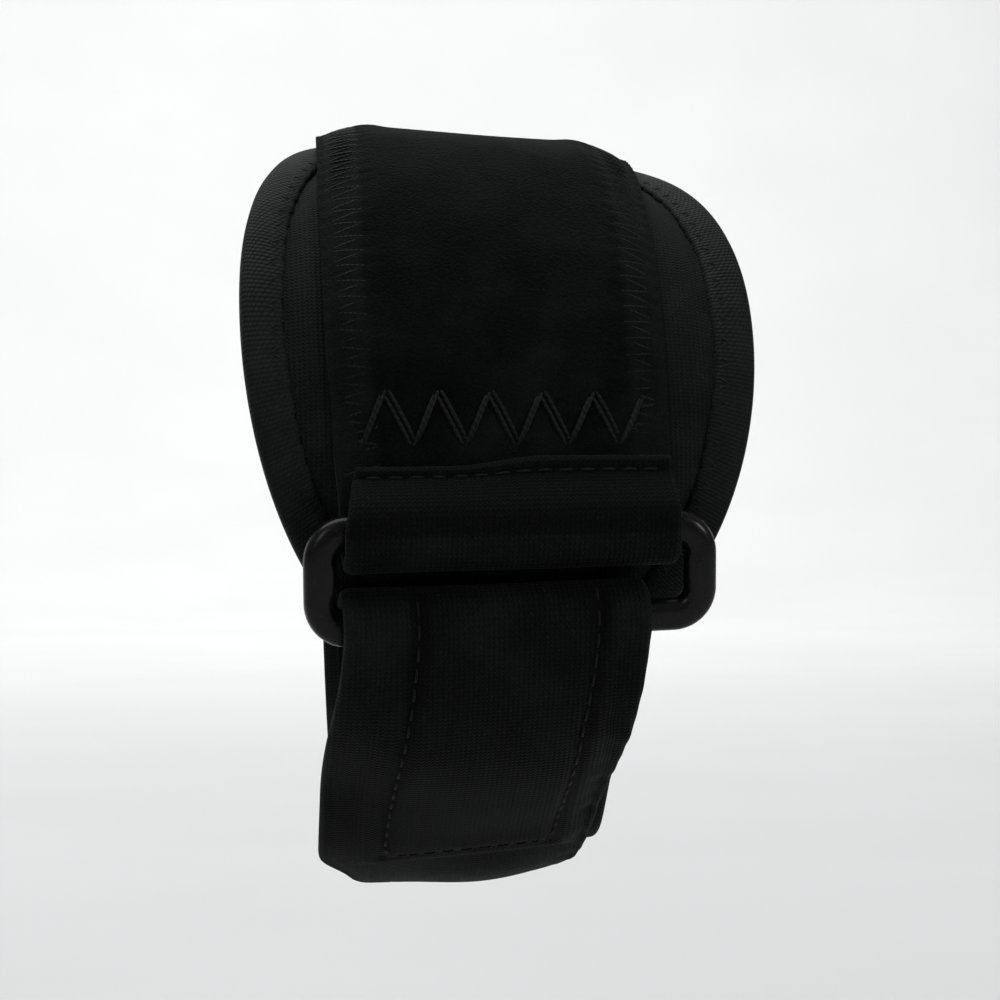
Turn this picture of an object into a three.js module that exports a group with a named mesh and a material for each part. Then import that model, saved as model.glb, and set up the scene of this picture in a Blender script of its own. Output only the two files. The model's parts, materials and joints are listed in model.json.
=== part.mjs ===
// A tennis elbow strap, closed as it is worn. A strap is sewn over an oval padded base with a bound
// edge. Its near end is folded round one bar of a plastic ring. The strap runs on round the limb,
// comes up through the ring, turns over the other bar, and is pressed down on itself by hooks.
//
// Millimetres. +X runs along the limb towards the hand, -Y points at the viewer, +Z is up, and the
// origin is on the limb's axis. Every piece is worked out flat first, in three lengths: s round the
// limb from the ring's middle and up its front, x along the limb, and w outwards from the skin.
// wrap() then lays it round the limb.
import * as THREE from "three";

const { clamp, degToRad, lerp, smoothstep, euclideanModulo } = THREE.MathUtils;

// The limb that the strap is closed on: an oval cone, which isn't a piece itself
const limb = { depth: 86, height: 89.2, taperDeg: 5, ringBelowFrontDeg: 8.8 };

// The height over the skin at which lengths round the limb are true
const lineHeight = 7;

// Clearances between two cloths, between a cloth and the ring's bar, and at the hooks
const clearance = { cloth: 0.3, bar: 0.3, hooks: 0.25 };

// The padded base: an oval of foam rubber, thick in the middle and thin where its edge is bound
const base = {
  length: 105,
  width: 63.3,
  pastRing: 17,
  squareness: 2.1,
  crown: 4.2,
  shoulder: 3.6,
  margin: 8,
  edge: 1.3,
};

// The tape that binds the base's edge
const tape = { width: 4.5, thickness: 0.6, gap: 0.25, turn: 0.8 };

// The strap: one length of cloth with a loop pile, whose near end is the flap and far end the tab
const strap = { width: 41, thickness: 2.4, flap: 8.7, tab: 59, corner: 9, thinEdgeShare: 0.5 };

// The plastic ring, whose window takes the strap's width and two of its folds, and which has slid
// a little towards the elbow
const ring = { bar: 4, thickness: 3.4, innerCorner: 1.3, sidePlay: 0.9, foldPlay: 1.6, offset: 0.7 };

// The hook patch between the tab and the strap, set a little towards the hand, over whose edges
// the tab droops
const hookPatch = { width: 24, thickness: 1, afterRing: 9, beforeEnd: 18.5, offset: 1.2, droop: 1.2 };

// How far a cloth needs to come down: off the base's edge, and off a bar as a share of its length
const drape = { start: 1.5, run: 13, flapShare: 0.8, tabShare: 0.45, underRun: 14 };

// The flap's width and sideways drift, as shares of the strap's width
const flapTable = [{ width: 0.93, drift: 0.01 }];

// The same for the strap, at even steps from bar to bar
const strapTable = [
  { width: 1, drift: -0.017 },
  { width: 1.04, drift: -0.028 },
  { width: 1.03, drift: -0.026 },
  { width: 1.01, drift: -0.018 },
  { width: 0.99, drift: -0.012 },
  { width: 0.97, drift: -0.015 },
  { width: 0.94, drift: -0.03 },
  { width: 0.895, drift: -0.048 },
  { width: 0.86, drift: -0.066 },
  { width: 0.855, drift: -0.075 },
  { width: 0.915, drift: -0.07 },
];

// The same for the tab, at even steps from the bar to its end
const tabTable = [
  { width: 0.915, drift: -0.07 },
  { width: 0.925, drift: -0.107 },
  { width: 0.895, drift: -0.13 },
  { width: 0.865, drift: -0.145 },
  { width: 0.825, drift: -0.15 },
];

// Where the tab is cut across at its round corners, as shares of the corner from the end
const cornerTable = [
  { share: 0.75 },
  { share: 0.52 },
  { share: 0.32 },
  { share: 0.15 },
  { share: 0.04 },
  { share: 0 },
];

// How finely the solids are divided
const divisions = {
  step: 5,
  tabStep: 3,
  flapStep: 1.5,
  foldCount: 8,
  outlineCount: 60,
  sectionCount: 10,
  cornerCount: 4,
  columns: [-1, -0.84, -0.66, -0.34, 0, 0.34, 0.66, 0.84, 1],
  patchColumns: [-1, -0.5, 0, 0.5, 1],
};

// Laying flat points round the limb

const line = new THREE.EllipseCurve(
  0,
  0,
  limb.depth / 2 + lineHeight,
  limb.height / 2 + lineHeight,
  degToRad(-limb.ringBelowFrontDeg) - Math.PI,
  degToRad(-limb.ringBelowFrontDeg) + Math.PI,
);
line.arcLengthDivisions = 720;
const girth = line.getLength();
const taper = degToRad(limb.taperDeg);

function wrap(s, x, w) {
  const round = line.getPointAt(euclideanModulo(s / girth + 0.5, 1));
  const out = new THREE.Vector2(round.x / line.xRadius ** 2, round.y / line.yRadius ** 2);
  round.multiplyScalar(1 - (x * Math.sin(taper)) / line.yRadius);
  round.addScaledVector(out.normalize(), (w - lineHeight) * Math.cos(taper));
  return new THREE.Vector3(x * Math.cos(taper) + w * Math.sin(taper), -round.x, round.y);
}

// Moves each vertex of a geometry to the place that its own position and uv stand for
function reshape(geometry, place) {
  const position = geometry.getAttribute("position");
  const uv = geometry.getAttribute("uv");
  const at = new THREE.Vector3();
  for (let i = 0; i < position.count; i++) {
    at.fromBufferAttribute(position, i);
    position.setXYZ(i, ...place(at, uv.getX(i), uv.getY(i)));
  }
  geometry.computeVertexNormals();
  return geometry;
}

// A table's half width and drift at a share of the way, on a smooth curve through its rows
function fromTable(table, share) {
  const rows = table.map(({ width, drift }) => new THREE.Vector2(width / 2, drift));
  const { x, y } = new THREE.SplineCurve(rows).getPoint(clamp(share, 0, 1));
  return { half: strap.width * x, drift: strap.width * y };
}

// Visits evenly spaced values from one end to the other, both included
function evenly(from, to, step, visit) {
  const count = Math.ceil(Math.abs(to - from) / step);
  for (let i = 0; i <= count; i++) {
    visit(lerp(from, to, i / count));
  }
}

// The padded base and its binding

const middle = base.length / 2 - base.pastRing;
const bed = tape.thickness + tape.gap;
const tapeTop = base.edge + 2 * bed;

// A point on the base's outline, a squared oval, taken in by an inset and scaled by a share
function outlinePoint(turn, inset, share) {
  const power = 2 / base.squareness;
  const [across, along] = [Math.cos(turn), Math.sin(turn)];
  return {
    x: share * (base.width / 2 - inset) * Math.sign(across) * Math.abs(across) ** power,
    s: middle + share * (base.length / 2 - inset) * Math.sign(along) * Math.abs(along) ** power,
  };
}

// 1 on the outline with that inset, less inside it and more outside it
function outlineShare(s, x, inset) {
  const fromMiddle = euclideanModulo(s - middle + girth / 2, girth) - girth / 2;
  const along = Math.abs(fromMiddle) / (base.length / 2 - inset);
  const across = Math.abs(x) / (base.width / 2 - inset);
  return (along ** base.squareness + across ** base.squareness) ** (1 / base.squareness);
}

const crownHeight = (share) => lerp(base.crown, base.shoulder, Math.min(share, 1) ** 4);

// The height of the base and its binding, which falls away beyond their edge
function pileHeight(s, x) {
  const crown = crownHeight(outlineShare(s, x, base.margin));
  const beyond = (outlineShare(s, x, -bed) - 1) * (base.width / 2);
  return Math.max(crown, tapeTop) * (1 - smoothstep(beyond, drape.start, drape.start + drape.run));
}

// The base's section in rows, from the middle of its outer face to the middle of its inner face
const faceShares = [0, 0.15, 0.3, 0.45, 0.6, 0.75, 0.88, 1];
const slope = tape.width + tape.gap + 0.4;
const baseRows = [
  ...faceShares.map((share) => ({ inset: base.margin, share, w: crownHeight(share) })),
  { inset: slope, share: 1, w: bed + base.edge },
  { inset: tape.turn, share: 1, w: bed + base.edge },
  { inset: 0, share: 1, w: bed + base.edge / 2 },
  { inset: tape.turn, share: 1, w: bed },
  { inset: slope, share: 1, w: bed },
  ...faceShares.toReversed().map((share) => ({ inset: base.margin, share, w: 0 })),
];

function paddedBase() {
  const rows = baseRows.length - 1;
  const geometry = new THREE.SphereGeometry(1, divisions.outlineCount, rows);
  return reshape(geometry, (at, u, v) => {
    const row = baseRows[Math.round((1 - v) * rows)];
    const { s, x } = outlinePoint(2 * Math.PI * u, row.inset, row.share);
    return wrap(s, x, row.w);
  });
}

// The tape's U section, from its outermost line over the outer face, back inside and out below
const tapeRows = [
  { inset: -bed, w: tapeTop / 2 },
  { inset: -tape.gap, w: tapeTop - tape.thickness / 2 },
  { inset: tape.turn, w: tapeTop },
  { inset: tape.width, w: tapeTop },
  { inset: tape.width, w: tapeTop - tape.thickness },
  { inset: tape.turn, w: tapeTop - tape.thickness },
  { inset: -tape.gap, w: tapeTop / 2 },
  { inset: tape.turn, w: tape.thickness },
  { inset: tape.width, w: tape.thickness },
  { inset: tape.width, w: 0 },
  { inset: tape.turn, w: 0 },
  { inset: -tape.gap, w: tape.thickness / 2 },
];

function edgeBinding() {
  const rows = tapeRows.length;
  const geometry = new THREE.TorusGeometry(2, 1, rows, divisions.outlineCount);
  return reshape(geometry, (at, u, v) => {
    const row = tapeRows[Math.round(v * rows) % rows];
    const { s, x } = outlinePoint(2 * Math.PI * u, row.inset, 1);
    return wrap(s, x, row.w);
  });
}

// The ring

const windowHeight = 2 * (clearance.bar + strap.thickness) + ring.foldPlay;
const windowWidth = strap.width + 2 * ring.sidePlay;
const barAt = (windowHeight + ring.bar) / 2;
const foldRadius = {
  along: ring.bar / 2 + clearance.bar + strap.thickness / 2,
  out: ring.thickness / 2 + clearance.bar + strap.thickness / 2,
};
const lay = clearance.cloth + strap.thickness / 2;
const ringHeight = pileHeight(barAt, 0) + lay + foldRadius.out;

// The ring's corners in turn, as signs of x and s
const ringCorners = [
  { right: 1, upper: 1 },
  { right: -1, upper: 1 },
  { right: -1, upper: -1 },
  { right: 1, upper: -1 },
];

// A point of the ring: a share of the way round one of its corners, and a turn round its bar
function ringPoint(corner, share, turn) {
  const { right, upper } = ringCorners[corner];
  const angle = (corner + share) * (Math.PI / 2);
  const radius = ring.innerCorner + (ring.bar / 2) * (1 + Math.cos(turn));
  return wrap(
    upper * (windowHeight / 2 - ring.innerCorner) + radius * Math.sin(angle),
    right * (windowWidth / 2 - ring.innerCorner) + radius * Math.cos(angle) - ring.offset,
    ringHeight + (ring.thickness / 2) * Math.sin(turn),
  );
}

function plasticRing() {
  const perCorner = divisions.cornerCount + 1;
  const stations = ringCorners.length * perCorner;
  const geometry = new THREE.TorusGeometry(2, 1, divisions.sectionCount, stations);
  return reshape(geometry, (at, u, v) => {
    const station = Math.round(u * stations) % stations;
    const corner = Math.floor(station / perCorner);
    return ringPoint(corner, (station % perCorner) / divisions.cornerCount, 2 * Math.PI * v);
  });
}

// Heights of a cloth's middle layer, where it lies on the base, on the strap or on the hooks

const tabTop = -barAt;
const tabEnd = tabTop - strap.tab;
const tabShare = (s) => (tabTop - s) / strap.tab;
const patchEnd = tabEnd + hookPatch.beforeEnd;
const patchDrift = (s) => fromTable(tabTable, tabShare(s)).drift + hookPatch.offset;

const onBase = (s, x) => pileHeight(s, x) + lay;
const onStrap = (s, x) => onBase(s, x) + strap.thickness + clearance.cloth;

function onHooks(s, x) {
  const hooks = hookPatch.thickness + 2 * clearance.hooks;
  const outside = Math.max(Math.abs(x - patchDrift(s)) - hookPatch.width / 2, patchEnd - s);
  const droop = hookPatch.droop * smoothstep(outside, 0, 1.5 * strap.thickness);
  return onBase(s, x) + strap.thickness + hooks - droop;
}

// A height that keeps a bar's level to its shoulder and then comes down, within a run of the bar's
// middle, to what the cloth lies on
function leaving(bar, level, run, rest) {
  return (s, x) => {
    const left = 1 - smoothstep(Math.abs(s - bar), ring.bar / 4, run);
    return rest(s, x) + (level - rest(bar, x)) * left;
  };
}

// Cloth laid along stations, each with its s, its height at any x, its half width and its drift

function layCloth(stations, columns, thickness) {
  const last = { column: columns.length - 1, station: stations.length - 1 };
  const grid = stations.map(({ s, height, half, drift }) =>
    columns.map((column) => {
      const x = drift + column * half;
      return wrap(s, x, height(s, x));
    }),
  );
  const geometry = new THREE.BoxGeometry(1, 1, 1, last.column, 1, last.station);
  return reshape(geometry, (at) => {
    const column = Math.round((at.x + 0.5) * last.column);
    const station = Math.round((at.z + 0.5) * last.station);
    const [before, after] = [Math.max(station - 1, 0), Math.min(station + 1, last.station)];
    const [left, right] = [Math.max(column - 1, 0), Math.min(column + 1, last.column)];
    const along = grid[after][column].clone().sub(grid[before][column]);
    const across = grid[station][right].clone().sub(grid[station][left]);
    const thin = Math.abs(columns[column]) === 1 ? strap.thinEdgeShare : 1;
    const out = along.cross(across).normalize();
    return out.multiplyScalar(at.y * thickness * thin).add(grid[station][column]);
  });
}

// The stations of half a turn round a bar, starting at an angle from the way up the limb's front
function foldStations(bar, from, table) {
  return Array.from({ length: divisions.foldCount - 1 }, (_, i) => {
    const share = (i + 1) / divisions.foldCount;
    const angle = from + share * Math.PI;
    const height = () => ringHeight + foldRadius.out * Math.sin(angle);
    return { s: bar + foldRadius.along * Math.cos(angle), height, ...fromTable(table, share) };
  });
}

function strapStations() {
  const stations = [];
  const under = ringHeight - foldRadius.out;
  const over = ringHeight + foldRadius.out;

  const flap = leaving(barAt, over, drape.flapShare * strap.flap, onStrap);
  evenly(barAt + strap.flap, barAt, divisions.flapStep, (s) => {
    stations.push({ s, height: flap, ...fromTable(flapTable, 0) });
  });
  stations.push(...foldStations(barAt, Math.PI / 2, [flapTable[0], strapTable[0]]));

  const farBar = girth + tabTop;
  const rising = leaving(barAt, under, drape.underRun, onBase);
  const falling = leaving(farBar, under, drape.underRun, onBase);
  evenly(barAt, farBar, divisions.step, (s) => {
    const share = (s - barAt) / (farBar - barAt);
    const height = share < 0.5 ? rising : falling;
    stations.push({ s, height, ...fromTable(strapTable, share) });
  });
  stations.push(...foldStations(tabTop, -Math.PI / 2, [strapTable.at(-1), tabTable[0]]));

  const tab = leaving(tabTop, over, drape.tabShare * strap.tab, onHooks);
  const addTab = (s) => {
    const row = fromTable(tabTable, tabShare(s));
    const toEnd = Math.min(s - tabEnd, strap.corner);
    row.half -= strap.corner - Math.sqrt(strap.corner ** 2 - (strap.corner - toEnd) ** 2);
    stations.push({ s, height: tab, ...row });
  };
  evenly(tabTop, tabEnd + strap.corner, divisions.tabStep, addTab);
  cornerTable.forEach(({ share }) => addTab(tabEnd + share * strap.corner));
  return stations;
}

function patchStations() {
  const stations = [];
  const from = tabTop - ring.bar / 2 - hookPatch.afterRing;
  const seat = strap.thickness / 2 + clearance.hooks + hookPatch.thickness / 2;
  const height = (s, x) => onBase(s, x) + seat;
  evenly(from, patchEnd, divisions.tabStep, (s) => {
    stations.push({ s, height, half: hookPatch.width / 2, drift: patchDrift(s) });
  });
  return stations;
}

// The pieces

function piece(name, geometry, color, roughness) {
  const material = new THREE.MeshStandardMaterial({ color, roughness, metalness: 0 });
  const mesh = new THREE.Mesh(geometry, material);
  mesh.name = name;
  return mesh;
}

const strapCloth = layCloth(strapStations(), divisions.columns, strap.thickness);
const patchCloth = layCloth(patchStations(), divisions.patchColumns, hookPatch.thickness);

const elbowStrap = new THREE.Group();
elbowStrap.add(
  piece("padded_base", paddedBase(), 0x17191a, 0.85),
  piece("edge_binding", edgeBinding(), 0x1d1f20, 0.8),
  piece("strap", strapCloth, 0x111314, 0.95),
  piece("hook_patch", patchCloth, 0x0e0f10, 0.7),
  piece("ring", plasticRing(), 0x0b0c0d, 0.35),
);

export default elbowStrap;
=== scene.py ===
"""A tennis elbow strap, closed as it is worn, in its finished look.

The solids of the frame give each piece its size and place. This script gives them their cloth,
stitches and plastic, and a plain studio with the camera at the photo's angle. Lengths are in
millimetres until a mesh is written, because the cloth is cut and laid in millimetres.
"""

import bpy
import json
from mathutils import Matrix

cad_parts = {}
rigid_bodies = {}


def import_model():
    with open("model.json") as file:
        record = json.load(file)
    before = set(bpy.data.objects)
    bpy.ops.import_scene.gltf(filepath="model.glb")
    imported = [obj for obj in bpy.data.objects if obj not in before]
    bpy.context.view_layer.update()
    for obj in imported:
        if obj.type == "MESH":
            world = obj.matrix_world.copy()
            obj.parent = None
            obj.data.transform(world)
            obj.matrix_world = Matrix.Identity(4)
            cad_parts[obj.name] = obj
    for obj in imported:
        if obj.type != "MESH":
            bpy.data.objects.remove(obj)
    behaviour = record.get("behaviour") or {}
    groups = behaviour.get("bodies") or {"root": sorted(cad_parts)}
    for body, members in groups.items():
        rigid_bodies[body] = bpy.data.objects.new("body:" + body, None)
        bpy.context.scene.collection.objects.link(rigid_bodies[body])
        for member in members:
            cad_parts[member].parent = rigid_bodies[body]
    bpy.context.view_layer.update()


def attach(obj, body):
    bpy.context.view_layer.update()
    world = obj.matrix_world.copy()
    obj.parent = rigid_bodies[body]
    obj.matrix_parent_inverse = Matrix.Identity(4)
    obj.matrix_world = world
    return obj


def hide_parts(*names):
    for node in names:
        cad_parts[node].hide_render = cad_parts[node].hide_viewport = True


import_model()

import json
import logging
import math
from dataclasses import dataclass, field
from enum import Enum
from functools import cached_property
from typing import Callable, Optional

import bmesh
import bpy
import numpy as np
from bpy.types import Material, Mesh, Object
from mathutils import Matrix, Vector

MM = 0.001
FULL_TURN = 2 * math.pi
BODY = "root"
Array = np.ndarray
log = logging.getLogger("elbow_strap")


def ease(value: Array, low: float, high: float) -> Array:
    """Goes smoothly from 0 at low to 1 at high."""
    share = np.clip((value - low) / (high - low), 0.0, 1.0)
    return share * share * (3.0 - 2.0 * share)


def bell(value: Array, width: float) -> Array:
    """A smooth bump of height 1 round 0."""
    return np.exp(-((value / width) ** 2))


def along_rows(rows: Array, share: Array) -> Array:
    """Reads a table on a smooth curve through its evenly spaced rows.

    Args:
        rows: One row of values for each step of the way.
        share: How far along the way to read, from 0 to 1.

    Returns:
        One row of values for each share.
    """
    last = len(rows) - 1
    place = np.clip(np.atleast_1d(share), 0.0, 1.0) * last
    start = np.minimum(place.astype(int), last)
    t = (place - start)[:, None]
    before, here = rows[np.maximum(start - 1, 0)], rows[start]
    after, beyond = rows[np.minimum(start + 1, last)], rows[np.minimum(start + 2, last)]
    leave, reach = (after - before) / 2, (beyond - here) / 2
    cubic = 2 * here - 2 * after + leave + reach
    square = -3 * here + 3 * after - 2 * leave - reach
    return cubic * t**3 + square * t**2 + leave * t + here


# The hollow and the way that the cloths lie round it


@dataclass(frozen=True)
class Hollow:
    """The narrowing oval hollow that the strap is closed round. It isn't a piece."""

    depth: float = 86.0
    height: float = 89.2
    taper: float = math.radians(5.0)
    ring_below_front: float = math.radians(8.8)
    line_height: float = 7.0
    samples: int = 2880

    @cached_property
    def half(self) -> tuple[float, float]:
        """Half the depth and height of the oval at which lengths are true."""
        return self.depth / 2 + self.line_height, self.height / 2 + self.line_height

    @cached_property
    def turns(self) -> Array:
        """Angles all the way round that oval, from opposite the ring's middle."""
        return np.linspace(-math.pi, math.pi, self.samples) - self.ring_below_front

    @cached_property
    def lengths(self) -> Array:
        """Lengths along that oval up to each of those angles."""
        across, up = self.half
        line = np.stack([across * np.cos(self.turns), up * np.sin(self.turns)], axis=1)
        steps = np.linalg.norm(np.diff(line, axis=0), axis=1)
        return np.concatenate([[0.0], np.cumsum(steps)])

    @property
    def girth(self) -> float:
        """The length all the way round."""
        return float(self.lengths[-1])

    def lay(self, s: Array, x: Array, w: Array) -> Array:
        """Lays flat places round the hollow.

        Args:
            s: Length round the hollow, from the ring's middle and up the front.
            x: Length along the hollow.
            w: Height over the hollow's wall.

        Returns:
            A point in millimetres for each place, in the last axis.
        """
        s, x, w = np.broadcast_arrays(s, x, w)
        turn = np.interp(np.mod(s + self.girth / 2, self.girth), self.lengths, self.turns)
        across, up = self.half
        cosine, sine = np.cos(turn), np.sin(turn)
        out = np.stack([cosine / across, sine / up], axis=-1)
        out /= np.linalg.norm(out, axis=-1, keepdims=True)
        narrowing = 1 - x * math.sin(self.taper) / up
        lift = (w - self.line_height) * math.cos(self.taper)
        front = across * cosine * narrowing + out[..., 0] * lift
        rise = up * sine * narrowing + out[..., 1] * lift
        shift = x * math.cos(self.taper) + w * math.sin(self.taper)
        return np.stack([shift, -front, rise], axis=-1)

    def outward(self, s: Array, x: Array, w: Array) -> Array:
        """The direction out from the hollow at flat places."""
        return self.lay(s, x, w + 1.0) - self.lay(s, x, w)


@dataclass(frozen=True)
class BaseCut:
    """The padded base's cut."""

    length: float = 105.0
    width: float = 63.3
    past_ring: float = 17.0
    squareness: float = 2.1
    crown: float = 4.2
    shoulder: float = 3.6
    crown_power: int = 4
    margin: float = 8.0
    edge: float = 1.3

    @property
    def middle(self) -> float:
        """How far round the hollow the middle of the base lies."""
        return self.length / 2 - self.past_ring

    def outline(self, turn: Array, inset: Array, share: Array) -> tuple:
        """A place on the outline.

        Args:
            turn: The angle round the base.
            inset: How far in from the edge.
            share: A share of the way out from the middle to that inset.

        Returns:
            The place's s and x.
        """
        power = 2 / self.squareness
        across, along = np.cos(turn), np.sin(turn)
        x = (self.width / 2 - inset) * np.sign(across) * np.abs(across) ** power
        s = (self.length / 2 - inset) * np.sign(along) * np.abs(along) ** power
        return self.middle + share * s, share * x

    def share(self, s: Array, x: Array, inset: float, girth: float) -> Array:
        """1 on the outline with that inset, less inside it and more outside it."""
        off = np.mod(s - self.middle + girth / 2, girth) - girth / 2
        along = np.abs(off) / (self.length / 2 - inset)
        across = np.abs(x) / (self.width / 2 - inset)
        return (along**self.squareness + across**self.squareness) ** (1 / self.squareness)

    def crown_height(self, share: Array) -> Array:
        """How thick the base is at a share of the way from its middle to its margin."""
        return self.crown + (self.shoulder - self.crown) * np.minimum(share, 1.0) ** self.crown_power


@dataclass(frozen=True)
class TapeCut:
    """The binding tape's cut."""

    width: float = 4.5
    thickness: float = 0.6
    gap: float = 0.25
    turn: float = 0.8

    @property
    def bed(self) -> float:
        """How far the base's edge stands off the hollow and in from the tape's outside."""
        return self.thickness + self.gap


@dataclass(frozen=True)
class StrapCut:
    """The strap's cut, with the widths and drifts of its stretches as shares of its width."""

    width: float = 41.0
    thickness: float = 2.4
    flap: float = 8.7
    tab: float = 59.0
    corner: float = 9.0
    flap_rows: tuple = ((0.95, 0.0), (1.0, -0.02))
    round_rows: tuple = (
        (1.0, -0.017),
        (1.04, -0.028),
        (1.03, -0.026),
        (1.01, -0.018),
        (0.99, -0.012),
        (0.97, -0.015),
        (0.94, -0.03),
        (0.895, -0.048),
        (0.86, -0.066),
        (0.855, -0.075),
        (0.915, -0.07),
    )
    tab_rows: tuple = (
        (0.915, -0.07),
        (0.925, -0.107),
        (0.895, -0.13),
        (0.865, -0.145),
        (0.825, -0.15),
    )

    def read(self, rows: tuple, share: Array) -> Array:
        """The half width and the drift at shares of the way through a table."""
        return along_rows(np.array(rows), share) * (self.width / 2, self.width)


@dataclass(frozen=True)
class RingMould:
    """The plastic ring's sizes."""

    bar: float = 4.0
    thickness: float = 3.4
    inner_corner: float = 1.3
    side_play: float = 0.9
    fold_play: float = 1.6
    offset: float = 0.7


@dataclass(frozen=True)
class HookCut:
    """The hook patch's cut."""

    width: float = 24.0
    thickness: float = 1.0
    after_ring: float = 9.0
    before_end: float = 18.5
    offset: float = 1.2
    droop: float = 1.2


@dataclass(frozen=True)
class Lie:
    """How the pieces lie on one another round the hollow, as heights over its wall."""

    hollow: Hollow = Hollow()
    base: BaseCut = BaseCut()
    tape: TapeCut = TapeCut()
    strap: StrapCut = StrapCut()
    ring: RingMould = RingMould()
    hooks: HookCut = HookCut()
    cloth_gap: float = 0.3
    bar_gap: float = 0.3
    hook_gap: float = 0.25
    drape_start: float = 1.5
    drape_run: float = 13.0
    flap_run: float = 0.8
    tab_run: float = 0.45
    under_run: float = 14.0
    droop_run: float = 1.5

    @property
    def window(self) -> tuple[float, float]:
        """The width and height of the ring's window."""
        folds = 2 * (self.bar_gap + self.strap.thickness) + self.ring.fold_play
        return self.strap.width + 2 * self.ring.side_play, folds

    @property
    def bar_at(self) -> float:
        """How far each bar's middle is from the ring's."""
        return (self.window[1] + self.ring.bar) / 2

    @property
    def fold(self) -> tuple[float, float]:
        """The half axes of a fold round a bar: along the strap and outwards."""
        layer = self.bar_gap + self.strap.thickness / 2
        return self.ring.bar / 2 + layer, self.ring.thickness / 2 + layer

    @property
    def tape_top(self) -> float:
        """The height of the binding's outer face."""
        return self.base.edge + 2 * self.tape.bed

    @cached_property
    def ring_height(self) -> float:
        """The height of the ring's middle."""
        return float(self.on_base(self.bar_at, 0.0)) + self.fold[1]

    @property
    def tab_end(self) -> float:
        """Where the tab ends."""
        return -self.bar_at - self.strap.tab

    @property
    def patch_span(self) -> tuple[float, float]:
        """Where the hook patch starts, under the ring, and where it ends."""
        start = -self.bar_at - self.ring.bar / 2 - self.hooks.after_ring
        return start, self.tab_end + self.hooks.before_end

    def patch_drift(self, s: Array) -> Array:
        """The hook patch's sideways place."""
        share = (-self.bar_at - np.atleast_1d(s).ravel()) / self.strap.tab
        drift = self.strap.read(self.strap.tab_rows, share)[:, 1] + self.hooks.offset
        return drift.reshape(np.shape(s)) if np.ndim(s) else drift[0]

    def pile(self, s: Array, x: Array) -> Array:
        """The height of the base and its binding, which falls away beyond their edge."""
        girth = self.hollow.girth
        crown = self.base.crown_height(self.base.share(s, x, self.base.margin, girth))
        beyond = (self.base.share(s, x, -self.tape.bed, girth) - 1) * self.base.width / 2
        down = ease(beyond, self.drape_start, self.drape_start + self.drape_run)
        return np.maximum(crown, self.tape_top) * (1 - down)

    def on_base(self, s: Array, x: Array) -> Array:
        """The strap's middle layer where it lies on the base or on the hollow."""
        return self.pile(s, x) + self.cloth_gap + self.strap.thickness / 2

    def on_strap(self, s: Array, x: Array) -> Array:
        """The flap's middle layer where it lies on the strap."""
        return self.on_base(s, x) + self.strap.thickness + self.cloth_gap

    def on_hooks(self, s: Array, x: Array) -> Array:
        """The tab's middle layer where it lies on the hook patch, and droops beside it."""
        hooks = self.hooks
        beside = np.abs(x - self.patch_drift(s)) - hooks.width / 2
        outside = np.maximum(beside, self.patch_span[1] - s)
        droop = hooks.droop * ease(outside, 0.0, self.droop_run * self.strap.thickness)
        stack = hooks.thickness + 2 * self.hook_gap
        return self.on_base(s, x) + self.strap.thickness + stack - droop

    def leaving(
        self, bar: float, level: float, run: float, rest: Callable
    ) -> Callable[[Array, Array], Array]:
        """A height that keeps a bar's level and then comes down to what the cloth lies on.

        Args:
            bar: Where the bar is.
            level: The height over the bar.
            run: How far from the bar the cloth has come down.
            rest: The height of what it comes down to.

        Returns:
            The height as a function of s and x.
        """

        def height(s: Array, x: Array) -> Array:
            """The height at s and x."""
            left = 1 - ease(np.abs(s - bar), self.ring.bar / 4, run)
            return rest(s, x) + (level - rest(np.full_like(s, bar), x)) * left

        return height


# Meshes


# The waves of worn cloth: radians per millimetre across and along, and where each starts
WORN_WAVES = ((0.071, 0.113, 0.4), (-0.163, 0.087, 2.1), (0.231, -0.197, 4.4), (0.09, 0.31, 1.3))


def settle(x: Array, y: Array) -> Array:
    """The unevenness of worn cloth: a few long waves across each other, from -1 to 1."""
    waves = (np.sin(x * across + y * along + start) for across, along, start in WORN_WAVES)
    return sum(waves) / len(WORN_WAVES)


@dataclass
class Slab:
    """Cloth with two faces, each a grid of points in millimetres, closed round its rim.

    Args:
        name: The piece's name.
        upper: The points of one face, by station and column.
        lower: The points of the other face.
        flat: The flat place of each grid point, for the weave: across and along.
        tone: For the shader, how worn or pressed each grid point is, with painted shade that darkens it and
            painted highlight that lightens it.
    """

    name: str
    upper: Array
    lower: Array
    flat: Array
    tone: Optional[Array] = None

    def build(self) -> Object:
        """Makes the mesh from one grid that is extruded into the other face.

        Returns:
            The object, whose faces carry material 0 on the upper face and 1 on the lower.
        """
        stations, columns = self.upper.shape[:2]
        bm = bmesh.new()
        uv = bm.loops.layers.uv.new("lay")
        tone = bm.verts.layers.float.new("tone")
        bmesh.ops.create_grid(bm, x_segments=columns - 1, y_segments=stations - 1, size=1.0)
        made = bmesh.ops.extrude_face_region(bm, geom=bm.faces[:])
        raised = {part for part in made["geom"] if isinstance(part, bmesh.types.BMVert)}
        lifted = {part for part in made["geom"] if isinstance(part, bmesh.types.BMFace)}
        corner = {}
        for vert in bm.verts:
            station = round((vert.co.y + 1) / 2 * (stations - 1))
            corner[vert] = (station, round((vert.co.x + 1) / 2 * (columns - 1)))
        for face in bm.faces:
            face.material_index = 0 if face in lifted else 1
            for loop in face.loops:
                loop[uv].uv = self.flat[corner[loop.vert]]
        for vert, place in corner.items():
            side = self.upper if vert in raised else self.lower
            vert.co = Vector(side[place]) * MM
            vert[tone] = 0.0 if self.tone is None else float(self.tone[place])
        return to_object(self.name, bm)


def link(name: str, data: bpy.types.ID) -> Object:
    """Puts a mesh, a light or a camera in the scene as an object."""
    made = bpy.data.objects.new(name, data)
    bpy.context.scene.collection.objects.link(made)
    return made


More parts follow.
